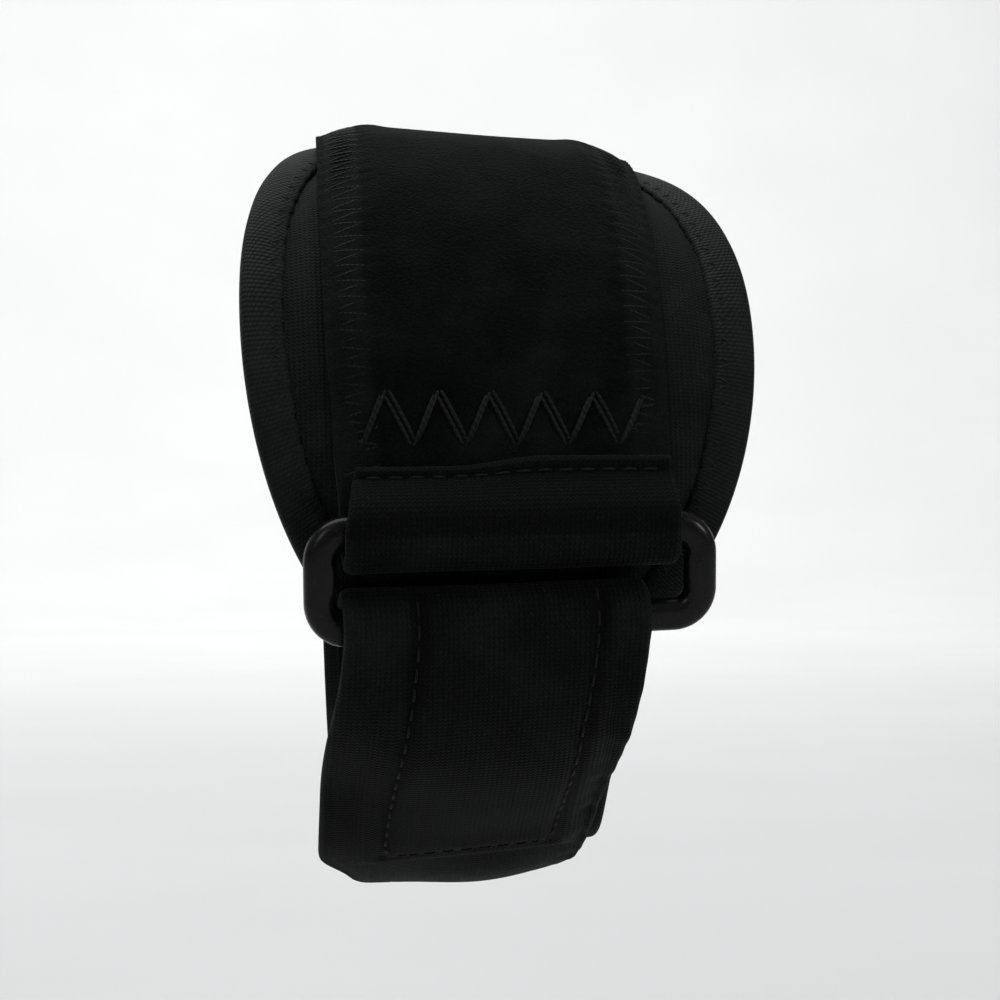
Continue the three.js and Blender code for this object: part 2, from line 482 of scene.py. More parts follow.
def to_mesh(name: str, bm: bmesh.types.BMesh) -> Mesh:
    """Writes a bmesh to a new mesh, and frees it."""
    mesh = bpy.data.meshes.new(name)
    bm.to_mesh(mesh)
    bm.free()
    return mesh


def to_object(name: str, bm: bmesh.types.BMesh) -> Object:
    """Writes a bmesh to a new object at the origin, shaded smooth."""
    bmesh.ops.recalc_face_normals(bm, faces=bm.faces[:])
    mesh = to_mesh(name, bm)
    mesh.polygons.foreach_set("use_smooth", [True] * len(mesh.polygons))
    return link(name, mesh)


def spin(bm: bmesh.types.BMesh, section: list, steps: int) -> None:
    """Spins a section all the way round the Z axis, and closes the hoop."""
    about = {"cent": (0, 0, 0), "axis": (0, 0, 1), "angle": FULL_TURN}
    bmesh.ops.spin(bm, geom=section, steps=steps, use_merge=True, **about)
    bmesh.ops.remove_doubles(bm, verts=bm.verts[:], dist=1e-5)


def ring_of_sections(
    name: str, place: Callable[[Array, Array], Array], stations: int, rows: int
) -> Object:
    """Spins a section into a closed hoop and moves each vertex to its real place.

    Args:
        name: The piece's name.
        place: Gives points in millimetres for shares round the hoop and round its section.
        stations: How many sections there are.
        rows: How many points a section has.

    Returns:
        The object, with the shares kept as the uv map "lay".
    """
    far = 3.0
    bm = bmesh.new()
    tilt = Matrix.Translation((far, 0, 0)) @ Matrix.Rotation(math.pi / 2, 4, "X")
    bmesh.ops.create_circle(bm, segments=rows, radius=1.0, matrix=tilt)
    spin(bm, bm.edges[:], stations)
    bm.verts.ensure_lookup_table()
    at = np.array([vert.co for vert in bm.verts])
    turn = np.mod(np.arctan2(at[:, 1], at[:, 0]) / FULL_TURN, 1.0)
    out = np.hypot(at[:, 0], at[:, 1]) - far
    round_section = np.mod(np.arctan2(at[:, 2], out) / FULL_TURN, 1.0)
    station = np.mod(np.round(turn * stations), stations) / stations
    row = np.mod(np.round(round_section * rows), rows) / rows
    points = place(station, row) * MM
    uv = bm.loops.layers.uv.new("lay")
    for face in bm.faces:
        stretch = [station[loop.vert.index] for loop in face.loops]
        spread = [row[loop.vert.index] for loop in face.loops]
        for loop, along, across in zip(face.loops, stretch, spread):
            along += 1.0 if max(stretch) - along > 0.5 else 0.0
            across += 1.0 if max(spread) - across > 0.5 else 0.0
            loop[uv].uv = (along, across)
    for vert in bm.verts:
        vert.co = points[vert.index]
    return to_object(name, bm)


@dataclass(frozen=True)
class Face:
    """A laid cloth's face, from which places on it are read for stitches.

    Args:
        points: The face's grid of points, by station and column.
        out: The direction out of the cloth at each of them.
        way: How far along the cloth each station is.
        columns: The columns, as shares from one edge at -1 to the other at 1.
    """

    points: Array
    out: Array
    way: Array
    columns: Array

    def at(self, way: Array, column: Array) -> list[Array]:
        """The points at places along and across the face, and the directions out of it."""
        row = np.interp(way, self.way, np.arange(len(self.way)))
        col = np.interp(column, self.columns, np.arange(len(self.columns)))
        r0 = np.minimum(row.astype(int), len(self.way) - 2)
        c0 = np.minimum(col.astype(int), len(self.columns) - 2)
        a, b = (row - r0)[:, None], (col - c0)[:, None]
        found = []
        for grid in (self.points, self.out):
            near = grid[r0, c0] * (1 - b) + grid[r0, c0 + 1] * b
            far = grid[r0 + 1, c0] * (1 - b) + grid[r0 + 1, c0 + 1] * b
            found.append(near * (1 - a) + far * a)
        return found


# Shaders


class Value:
    """An output of a node, on which Python's operators add Math nodes."""

    def __init__(self, shader: "Shader", socket: bpy.types.NodeSocket) -> None:
        """Wraps one socket of a shader."""
        self.shader = shader
        self.socket = socket

    def maths(self, operation: str, *others: "float | Value") -> "Value":
        """Adds one Math node that starts with this value."""
        values = dict(enumerate((self, *others)))
        return self.shader.node("ShaderNodeMath", {"operation": operation}, values)

    def __add__(self, other: "float | Value") -> "Value":
        """Adds."""
        return self.maths("ADD", other)

    __radd__ = __add__

    def __sub__(self, other: "float | Value") -> "Value":
        """Subtracts."""
        return self.maths("SUBTRACT", other)

    def __rsub__(self, other: float) -> "Value":
        """Subtracts this from a number."""
        return self.shader.node("ShaderNodeMath", {"operation": "SUBTRACT"}, {0: other, 1: self})

    def __mul__(self, other: "float | Value") -> "Value":
        """Multiplies."""
        return self.maths("MULTIPLY", other)

    __rmul__ = __mul__

    def sine(self) -> "Value":
        """The sine."""
        return self.maths("SINE")

    def size(self) -> "Value":
        """The value without its sign."""
        return self.maths("ABSOLUTE")

    def eased(self, low: float, high: float) -> "Value":
        """Goes smoothly from 0 at low to 1 at high."""
        settings = {"interpolation_type": "SMOOTHSTEP"}
        return self.shader.node("ShaderNodeMapRange", settings, {0: self, 1: low, 2: high})


class Shader:
    """A material's nodes."""

    def __init__(self, name: str) -> None:
        """Starts a material with one principled shader."""
        self.material = bpy.data.materials.new(name)
        self.material.use_nodes = True
        self.tree = self.material.node_tree
        self.principled = self.tree.nodes["Principled BSDF"]

    def node(self, kind: str, settings: dict, values: dict, output: int = 0) -> Value:
        """Adds a node.

        Args:
            kind: The node's type.
            settings: Its properties.
            values: A number, colour, vector or link for each socket.
            output: Which output to give back.

        Returns:
            That output.
        """
        made = self.tree.nodes.new(kind)
        for name, setting in settings.items():
            setattr(made, name, setting)
        for key, value in values.items():
            self.feed(made.inputs[key], value)
        return Value(self, made.outputs[output])

    def feed(self, socket: bpy.types.NodeSocket, value: "float | tuple | Value") -> None:
        """Links or sets one socket."""
        if isinstance(value, Value):
            self.tree.links.new(value.socket, socket)
        else:
            socket.default_value = value

    def objects(self) -> Value:
        """The place in the object's own frame, in metres."""
        return self.node("ShaderNodeTexCoord", {}, {}, 3)

    def lay(self) -> tuple[Value, Value]:
        """The flat place on the cloth: across and along."""
        flat = self.node("ShaderNodeUVMap", {"uv_map": "lay"}, {})
        split = self.node("ShaderNodeSeparateXYZ", {}, {0: flat})
        return split, Value(self, split.socket.node.outputs[1])

    def tone(self) -> Value:
        """The mesh's own tone: high where it is worn or pressed or has painted highlight, low where painted
        shade darkens it.
        """
        return self.node("ShaderNodeAttribute", {"attribute_name": "tone"}, {}, 2)

    def noise(self, size: float, detail: float = 3.0, rough: float = 0.55) -> Value:
        """Noise with grains of a size in millimetres, from about 0.3 to 0.7."""
        values = {"Vector": self.objects(), "Scale": 1 / (size * MM), "Detail": detail, "Roughness": rough}
        return self.node("ShaderNodeTexNoise", {}, values)

    def cells(self, size: float) -> Value:
        """The distance to the nearest of scattered points that are a size apart."""
        values = {"Vector": self.objects(), "Scale": 1 / (size * MM)}
        return self.node("ShaderNodeTexVoronoi", {}, values)

    def mix(self, share: "float | Value", a: "tuple | Value", b: "tuple | Value") -> Value:
        """Mixes two colours."""
        return self.node("ShaderNodeMix", {"data_type": "RGBA"}, {0: share, 6: a, 7: b}, 2)

    def relief(self, height: Value, depth: float, strength: float = 1.0) -> Value:
        """A normal from a height, whose depth is in millimetres."""
        values = {"Height": height, "Distance": depth * MM, "Strength": strength}
        return self.node("ShaderNodeBump", {}, values)

    def finish(self, **sockets: "float | tuple | Value") -> Material:
        """Feeds the principled shader, with each socket's name in snake case."""
        for name, value in sockets.items():
            title = name.replace("_", " ").title().replace("Ior", "IOR")
            self.feed(self.principled.inputs[title], value)
        return self.material


def grey(level: float, green: float = 0.0) -> tuple[float, float, float, float]:
    """A near-black or plain grey with a touch of cold green."""
    return (level * (1 - green), level * (1 + green / 3), level * (1 + green / 4), 1.0)


@dataclass(frozen=True)
class LoopPile:
    """Brushed loop cloth: a dense pile of tiny loops that drinks the light."""

    name: str = "loop_pile"
    dark: float = 0.0024
    light: float = 0.0082
    loop: float = 0.42
    depth: float = 0.2

    def make(self) -> Material:
        """Makes the material."""
        sh = Shader(self.name)
        loops = sh.cells(self.loop)
        fuzz = sh.noise(0.16, 2.0)
        brushed = sh.noise(5.0, 4.0)
        patch = sh.noise(14.0, 2.0)
        height = (1 - loops) * 0.7 + fuzz * 0.5 + brushed * 0.25
        # The tone attribute brings worn edges, painted shade and painted highlight into the colour.
        colour = sh.mix(
            (brushed * 0.6 + patch * 0.6 - 0.1 + (fuzz - 0.5) * 0.8 + sh.tone() * 0.5).eased(0.3, 0.95),
            grey(self.dark, 0.12),
            grey(self.light, 0.1),
        )
        return sh.finish(
            base_color=colour,
            roughness=0.82 + (fuzz - 0.5) * 0.3,
            normal=sh.relief(height, self.depth, 0.9),
            sheen_weight=0.06,
            sheen_roughness=0.35,
            sheen_tint=(0.5, 0.56, 0.56, 1.0),
            specular_ior_level=0.02,
        )


@dataclass(frozen=True)
class Jersey:
    """Knitted jersey over foam rubber: fine upright rows of stitches."""

    name: str = "jersey"
    dark: float = 0.0042
    light: float = 0.0125
    course: float = 0.55
    wale: float = 0.62
    depth: float = 0.12
    sheen: float = 0.05

    def make(self) -> Material:
        """Makes the material."""
        sh = Shader(self.name)
        across, along = sh.lay()
        lean = (across * (FULL_TURN / self.wale)).sine()
        rows = (along * (FULL_TURN / self.course) + lean * 1.3).sine() * 0.5 + 0.5
        columns = (across * (math.pi / self.wale)).sine().size()
        knit = rows * 0.6 + columns * 0.7
        fuzz = sh.noise(0.2, 2.0)
        worn = sh.noise(7.0, 4.0)
        # The tone attribute brings worn edges, painted shade and painted highlight into the colour.
        colour = sh.mix(
            (worn * 0.9 + knit * 0.25 + (fuzz - 0.5) * 0.7 + sh.tone() * 0.6 - 0.1).eased(0.3, 1.05),
            grey(self.dark, 0.1),
            grey(self.light, 0.08),
        )
        return sh.finish(
            base_color=colour,
            roughness=0.72 + (fuzz - 0.5) * 0.3,
            normal=sh.relief(knit + fuzz * 0.5 + worn * 0.4, self.depth, 0.9),
            sheen_weight=self.sheen,
            sheen_roughness=0.4,
            sheen_tint=(0.6, 0.65, 0.66, 1.0),
            specular_ior_level=0.05,
        )


@dataclass(frozen=True)
class TapeWeave:
    """Woven binding tape: fine ribs across its width."""

    name: str = "tape_weave"
    dark: float = 0.0045
    light: float = 0.014
    ribs: float = 520.0
    threads: float = 36.0

    def make(self) -> Material:
        """Makes the material."""
        sh = Shader(self.name)
        along, across = sh.lay()
        ribs = (along * (FULL_TURN * self.ribs)).sine() * 0.5 + 0.5
        threads = (across * (FULL_TURN * self.threads) + along * (math.pi * self.ribs)).sine()
        weave = ribs * 0.6 + threads * 0.2
        fuzz = sh.noise(0.25, 2.0)
        worn = sh.noise(4.0, 4.0)
        colour = sh.mix(
            (weave * 0.4 + worn * 0.7 + (fuzz - 0.5) * 0.5).eased(0.25, 1.0),
            grey(self.dark, 0.08),
            grey(self.light, 0.06),
        )
        return sh.finish(
            base_color=colour,
            roughness=0.62 + (fuzz - 0.5) * 0.25,
            normal=sh.relief(weave + fuzz * 0.4, 0.1, 0.8),
            sheen_weight=0.05,
            sheen_roughness=0.35,
            sheen_tint=(0.7, 0.74, 0.75, 1.0),
            specular_ior_level=0.08,
        )


@dataclass(frozen=True)
class SewingThread:
    """Twisted polyester thread."""

    name: str = "sewing_thread"
    dark: float = 0.004
    light: float = 0.012
    plies: float = 9.0

    def make(self) -> Material:
        """Makes the material."""
        sh = Shader(self.name)
        across, along = sh.lay()
        twist = (across * (2 * FULL_TURN) + along * (FULL_TURN * self.plies)).sine() * 0.5 + 0.5
        dust = sh.noise(0.8, 3.0)
        colour = sh.mix((twist * 0.5 + dust * 0.5).eased(0.2, 0.9), grey(self.dark), grey(self.light))
        return sh.finish(
            base_color=colour,
            roughness=0.45 + (dust - 0.5) * 0.3,
            normal=sh.relief(twist, 0.06, 0.7),
            sheen_weight=0.02,
            specular_ior_level=0.08,
        )


@dataclass(frozen=True)
class MouldedPlastic:
    """Moulded black plastic with a satin surface, rubbed a little smoother where it is handled."""

    name: str = "moulded_plastic"
    level: float = 0.003

    def make(self) -> Material:
        """Makes the material."""
        sh = Shader(self.name)
        grain = sh.noise(0.35, 3.0)
        rubbed = sh.noise(9.0, 3.0)
        scuff = sh.noise(0.9, 6.0, 0.7)
        dusty = (scuff * 0.7 + grain * 0.4).eased(0.45, 0.9)
        colour = sh.mix(dusty, grey(self.level), grey(2.4 * self.level))
        return sh.finish(
            base_color=colour,
            roughness=0.18 + rubbed * 0.16 + (scuff - 0.5) * 0.18,
            normal=sh.relief(grain * 0.6 + scuff * 0.4, 0.03, 0.5),
            specular_ior_level=0.16,
        )


@dataclass(frozen=True)
class HookNylon:
    """Nylon hook tape."""

    name: str = "hook_nylon"

    def make(self) -> Material:
        """Makes the material."""
        sh = Shader(self.name)
        across, along = sh.lay()
        weave = (across * 9.0).sine() * (along * 9.0).sine()
        fuzz = sh.noise(0.3, 3.0)
        colour = sh.mix((fuzz + weave * 0.2).eased(0.3, 0.8), grey(0.008), grey(0.022))
        return sh.finish(
            base_color=colour,
            roughness=0.5 + (fuzz - 0.5) * 0.3,
            normal=sh.relief(weave + fuzz * 0.5, 0.1, 0.7),
            specular_ior_level=0.4,
        )


@dataclass(frozen=True)
class StudioPaint:
    """The studio's plain pale floor."""

    name: str = "studio_paint"
    level: float = 0.66

    def make(self) -> Material:
        """Makes the material."""
        sh = Shader(self.name)
        mottle = sh.noise(180.0, 2.0)
        colour = sh.mix(mottle.eased(0.3, 0.7), grey(self.level), grey(self.level * 1.03))
        return sh.finish(base_color=colour, roughness=0.9 + (mottle - 0.5) * 0.05)


# Thread


# The share of a straight row's pitch that its stitches show, before the thread dips
RUNNING = 0.78


@dataclass
class Sewing:
    """Sewing that is built up stitch by stitch from one short length of thread."""

    name: str
    thread: float = 0.34
    sides: int = 6
    sink: float = 0.12
    bury: float = 0.35
    stitches: list = field(default_factory=list)

    PROFILE = ((0.0, 0.35), (0.1, 0.8), (0.28, 1.0), (0.5, 1.0), (0.72, 1.0), (0.9, 0.8), (1.0, 0.35))

    def sew(self, places: Array, out: Array, share: float = 1.0) -> None:
        """Sews from each place towards the next.

        Args:
            places: Where the thread comes out of the cloth, in order.
            out: The direction out of the cloth at each of them.
            share: How much of the way to the next place a stitch goes.
        """
        for start, end, up in zip(places, places[1:], out):
            self.stitches.append((Vector(start), Vector(start + (end - start) * share), Vector(up)))

    def template(self) -> Mesh:
        """One stitch, 1 long from the origin along Y, that bows up along Z."""
        bm = bmesh.new()
        previous = None
        uv = bm.loops.layers.uv.new("lay")
        for place, thick in self.PROFILE:
            end = place in (0.0, 1.0)
            bow = 0.0 if end else math.sin(math.pi * place) ** 0.5
            move = Matrix.Translation((0, place, bow)) @ Matrix.Rotation(math.pi / 2, 4, "X")
            size = {"segments": self.sides, "radius": 0.5 * thick}
            made = bmesh.ops.create_circle(bm, **size, cap_ends=end, matrix=move)
            ring = [edge for edge in bm.edges if all(v in made["verts"] for v in edge.verts)]
            if previous:
                bmesh.ops.bridge_loops(bm, edges=previous + ring)
            previous = ring
        bmesh.ops.recalc_face_normals(bm, faces=bm.faces[:])
        for face in bm.faces:
            for loop in face.loops:
                co = loop.vert.co
                loop[uv].uv = (math.atan2(co.x, co.z - 0.5) / FULL_TURN, co.y)
        return to_mesh(self.name + "_stitch", bm)

    def build(self) -> Object:
        """Joins all the stitches into one piece."""
        template = self.template()
        count, thick = len(template.vertices), self.thread
        bm = bmesh.new()
        for start, end, out in self.stitches:
            along = end - start
            side = along.cross(out).normalized()
            up = side.cross(along).normalized()
            axes = Matrix((side * thick, along, up * thick)).transposed().to_4x4()
            base = start - up * (self.sink + thick * self.bury)
            bm.from_mesh(template)
            bm.verts.ensure_lookup_table()
            matrix = Matrix.Diagonal((MM, MM, MM, 1)) @ Matrix.Translation(base) @ axes
            bmesh.ops.transform(bm, matrix=matrix, verts=bm.verts[-count:])
        bpy.data.meshes.remove(template)
        return to_object(self.name, bm)


def dress(piece: Object, *materials: Material) -> None:
    """Gives a piece its materials in order."""
    for material in materials:
        piece.data.materials.append(material)


def coordinates(mesh: Mesh) -> Array:
    """A mesh's points, one to a row."""
    flat = np.empty(len(mesh.vertices) * 3)
    mesh.vertices.foreach_get("co", flat)
    return flat.reshape(-1, 3)


# The pieces


@dataclass
class PaddedBase:
    """The oval base of foam rubber between jersey."""

    lie: Lie
    rings: int = 44
    steps: int = 96
    crown_share: float = 0.8
    tucked: float = 0.08
    pucker: float = 0.1
    pucker_pitch: float = 3.2
    pucker_at: float = 1.2
    pucker_width: float = 1.3
    puff: float = 0.7
    strap_share: float = 0.1
    held_past: float = 0.2
    free_from_strap: float = 2.2
    free_from_seam: float = 2.0
    sim_frames: int = 20
    sim_quality: int = 6
    pressure: float = 4.0
    stiffness: float = 25.0
    bending: float = 2.0
    piece: Optional[Object] = None

    def places(self) -> tuple[Array, Array, Array, Array]:
        """A square grid pressed into the oval, so that it has no pole.

        Returns:
            The s, x, inset and share of each grid point, by station and column.
        """
        v, u = np.meshgrid(
            np.linspace(-1, 1, self.steps), np.linspace(-1, 1, self.rings), indexing="ij"
        )
        across = u * np.sqrt(1 - v**2 / 2)
        along = v * np.sqrt(1 - u**2 / 2)
        radius = np.minimum(np.hypot(across, along), 1.0)
        turn = np.arctan2(along, across)
        share = np.minimum(radius / self.crown_share, 1.0)
        outside = np.clip((radius - self.crown_share) / (1 - self.crown_share), 0.0, 1.0)
        inset = self.lie.base.margin * (1 - outside)
        s, x = self.lie.base.outline(turn, inset, share)
        return s, x, inset, share

    def heights(self, s: Array, x: Array, inset: Array, share: Array) -> tuple:
        """The heights of the outer and inner face."""
        base, tape = self.lie.base, self.lie.tape
        seam = tape.width + tape.gap
        rise = np.clip((inset - seam) / (base.margin - seam) + self.tucked, 0.0, 1.0)
        bound = 1 - np.sin(rise * math.pi / 2)
        rim = 1 - ease(inset, 0.0, tape.turn)
        outer = base.crown_height(share) * (1 - bound) + (tape.bed + base.edge) * bound
        inner = tape.bed * bound
        middle = tape.bed + base.edge / 2
        beside_seam = bell(inset - seam - self.pucker_at, self.pucker_width)
        ripple = 0.5 + 0.5 * np.sin(FULL_TURN * self.round_way(s, x) / self.pucker_pitch)
        outer = outer - self.pucker * beside_seam * ripple
        inner = inner + 0.5 * self.pucker * beside_seam * (1 - ripple)
        outer = outer * (1 - rim) + middle * rim
        inner = inner * (1 - rim) + middle * rim
        return outer, inner

    def round_way(self, s: Array, x: Array) -> Array:
        """Roughly how far round the outline a place lies, in millimetres."""
        base = self.lie.base
        turn = np.arctan2((s - base.middle) / base.length, x / base.width)
        return turn * (base.length + base.width) / 4

    def build(self) -> None:
        """Makes the mesh, and puffs its margins with a cloth simulation."""
        s, x, inset, share = self.places()
        outer, inner = self.heights(s, x, inset, share)
        hollow = self.lie.hollow
        flat = np.stack([x, s], axis=-1)
        slab = Slab("padded_base_cover", hollow.lay(s, x, outer), hollow.lay(s, x, inner), flat)
        self.piece = slab.build()
        self.inflate()

    def inflate(self) -> None:
        """Puffs the free margins with cloth pressure, and keeps each point within a cap."""
        mesh = self.piece.data
        rest = coordinates(mesh)
        self.pin()
        sim = self.piece.modifiers.new("pressure", "CLOTH")
        sim.settings.use_pressure = True
        sim.settings.uniform_pressure_force = self.pressure
        sim.settings.effector_weights.gravity = 0.0
        sim.settings.vertex_group_mass = "held"
        sim.settings.quality = self.sim_quality
        sim.settings.tension_stiffness = self.stiffness
        sim.settings.compression_stiffness = self.stiffness
        sim.settings.bending_stiffness = self.bending
        sim.point_cache.frame_start = 1
        sim.point_cache.frame_end = self.sim_frames
        scene = bpy.context.scene
        for number in range(1, self.sim_frames + 1):
            scene.frame_set(number)
        puffed = self.piece.evaluated_get(bpy.context.evaluated_depsgraph_get())
        shift = coordinates(puffed.to_mesh()) - rest
        puffed.to_mesh_clear()
        self.piece.modifiers.clear()
        self.piece.vertex_groups.clear()
        scene.frame_set(1)
        length = np.linalg.norm(shift, axis=1, keepdims=True)
        cap = self.puff * MM
        shift *= cap * np.tanh(length / cap) / np.maximum(length, 1e-9)
        mesh.vertices.foreach_set("co", (rest + shift).ravel())
        mesh.update()
        log.info("base puffed by up to %.2f mm", float(np.linalg.norm(shift, axis=1).max()) / MM)

    def pin(self) -> None:
        """Holds the base where it is bound, where it lines the hollow and under the strap."""
        s, x, inset, _ = self.places()
        strap = self.lie.strap
        half, drift = strap.read(strap.round_rows, self.strap_share)[0]
        seam = self.lie.tape.width + self.lie.tape.gap
        beside = ease(np.abs(x - drift), half + self.held_past, half + self.free_from_strap)
        free = beside * ease(inset, seam + self.held_past, seam + self.free_from_seam)
        held = self.piece.vertex_groups.new(name="held")
        grid = bmesh.new()
        grid.from_mesh(self.piece.data)
        uv = grid.loops.layers.uv["lay"]
        known = np.stack([x.ravel(), s.ravel()], axis=1)
        for vert in grid.verts:
            loops = vert.link_loops
            nearest = int(np.argmin(((known - np.array(loops[0][uv].uv)) ** 2).sum(axis=1)))
            on_top = any(loop.face.material_index == 0 for loop in loops)
            held.add([vert.index], 1.0 - float(free.ravel()[nearest]) if on_top else 1.0, "REPLACE")
        grid.free()

    def dress(self, jersey: Material) -> None:
        """Gives the base its jersey, ties it to the body, and hides the solid that it stands for."""
        dress(self.piece, jersey, jersey)
        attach(self.piece, BODY)
        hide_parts("padded_base")


@dataclass
class EdgeBinding:
    """The tape folded round the base's edge, and the zigzag that sews it on."""

    lie: Lie
    stations: int = 300
    wave: float = 0.12
    slow_waves: int = 17
    press: float = 0.12
    press_at: float = 0.72
    press_width: float = 1.1
    stitch_pitch: float = 2.7
    stitch_past: float = 0.35
    stitch_reach: float = 2.3
    stitch_lift: float = 0.02
    seam_lift: float = 0.25
    inner_seam_drop: float = 0.15
    piece: Optional[Object] = None
    sewing: Optional[Object] = None

    @property
    def pitches(self) -> int:
        """How many stitch pitches go round the base."""
        base = self.lie.base
        return round(math.pi * (base.length + base.width) / 2 / self.stitch_pitch)

    def section(self) -> Array:
        """The U section, as insets and heights, from the outermost line over the outer face."""
        tape, top = self.lie.tape, self.lie.tape_top
        bed, wide, middle, t = tape.bed, tape.width, top / 2, tape.thickness
        over = [
            (-bed, middle),
            (-0.86 * bed, 1.55 * middle),
            (-0.5 * bed, top - 0.32 * t),
            (0.1 * bed, top - 0.08 * t),
            (tape.turn, top),
            (0.4 * wide, top + 0.08 * t),
            (0.68 * wide, top + 0.02 * t),
            (wide - 0.35, top - 0.2 * t),
            (wide - 0.08, top - 0.5 * t),
            (wide, top - 0.9 * t),
            (wide - 0.1, top - t - 0.9 * tape.gap),
            (tape.turn, top - t),
            (-tape.gap, middle),
        ]
        return np.array(over + [(inset, top - w) for inset, w in reversed(over[1:-1])])

    def build(self) -> None:
        """Makes the tape and its stitches."""
        section = self.section()
        rows = len(section)
        hollow, tape, base = self.lie.hollow, self.lie.tape, self.lie.base

        def place(station: Array, row: Array) -> Array:
            """A point of the tape."""
            inset, w = section[np.round(row * rows).astype(int) % rows].T
            turn = FULL_TURN * station
            near_seam = ease(inset, 0.3 * tape.width, tape.width)
            ripple = np.sin(turn * self.pitches) + 0.6 * np.sin(turn * self.slow_waves + 1.0)
            inset = inset + self.wave * near_seam * ripple
            outer = np.where(w > self.lie.tape_top / 2, 1.0, -1.0)
            dents = 0.5 + 0.5 * np.sin(turn * self.pitches + 1.2)
            pressed = self.press * bell(inset - self.press_at * tape.width, self.press_width) * dents
            s, x = base.outline(turn, inset, np.ones_like(turn))
            return hollow.lay(s, x, w - pressed * outer)

        self.piece = ring_of_sections("edge_binding_tape", place, self.stations, rows)
        self.sew()

    def sew(self) -> None:
        """Sews the tape on with a narrow zigzag on both faces."""
        hollow, tape, base = self.lie.hollow, self.lie.tape, self.lie.base
        sewing = Sewing("binding_stitches", thread=0.3)
        count = 2 * self.pitches + 1
        past = tape.width + self.stitch_past
        inset = np.where(np.arange(count) % 2, past, past - self.stitch_reach)
        s, x = base.outline(np.linspace(0, FULL_TURN, count), inset, np.ones(count))
        outer = (self.lie.tape_top + self.stitch_lift, tape.bed + base.edge + self.seam_lift)
        inner = (0.0, tape.bed - self.inner_seam_drop)
        for sign, (on_tape, on_base) in ((1.0, outer), (-1.0, inner)):
            w = np.where(inset > tape.width, on_base, on_tape)
            sewing.sew(hollow.lay(s, x, w), hollow.outward(s, x, w) * sign)
        self.sewing = sewing.build()

    def dress(self, weave: Material, thread: Material) -> None:
        """Gives the tape its weave and the stitches their thread."""
        dress(self.piece, weave)
        dress(self.sewing, thread)
        for piece in (self.piece, self.sewing):
            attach(piece, BODY)
        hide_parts("edge_binding")


class Stretch(Enum):
    """The stretches of the strap, in order."""

    FLAP = 0
    UPPER_FOLD = 1
    ROUND = 2
    LOWER_FOLD = 3
    TAB = 4


@dataclass(frozen=True)
class EdgeRows:
    """The zigzag rows that sew the strap's edges to the base, between two lines along each edge."""

    near: float = 0.5
    far: float = 5.6
    pitch: float = 2.4
    first: float = 11.0
    before_end: float = 6.0
    thread: float = 0.32
    sunk: float = 1.8
    pull: float = 0.22
    swell: float = 0.2
    swell_past: float = 1.8
    from_bar: tuple = (9.0, 14.0)
    fade: tuple = (0.93, 1.35)

    def pressed(self, s: Array, from_edge: Array) -> Array:
        """How far the rows hold the pile down, less where it swells beside them."""
        needle = 0.5 + 0.5 * np.cos(FULL_TURN * (s - self.first) / self.pitch)
        pulled = bell(from_edge - self.far, 0.8) * needle + bell(from_edge - self.near, 0.6) * (1 - needle)
        flat = 1 - np.clip((from_edge - self.near) / (self.far - self.near), 0.0, 1.0)
        swollen = bell(from_edge - self.far - self.swell_past, 1.4)
        return self.sunk * flat + self.pull * pulled - self.swell * swollen


@dataclass(frozen=True)
class CrossRow:
    """The wide zigzag row across the strap, sewn with two threads side by side."""

    start: float = 15.6
    end: float = 22.6
    pitch: float = 6.3
    margin: float = 2.5
    thread: float = 0.5
    apart: float = 0.28
    sag: float = 0.15
    groove: float = 0.35
    groove_width: float = 0.8
    fade: float = 2.0

    def wave(self, x: Array) -> Array:
        """0 where the row turns back at its start and 1 where it does at its end."""
        return np.abs(np.mod((x / self.pitch) * 2 + 0.5, 2) - 1)

    def pressed(self, s: Array, x: Array, from_edge: Array) -> Array:
        """How far the row holds the pile down."""
        along = self.end - self.start
        inside = ease(s, self.start - self.fade, self.start) * (1 - ease(s, self.end, self.end + self.fade))
        groove = bell(s - (self.start + along * self.wave(x)), self.groove_width) * inside
        around = bell(s - (self.start + self.end) / 2, along * 0.45)
        return self.sag * around + self.groove * groove * ease(from_edge, 0.5, 3.0)


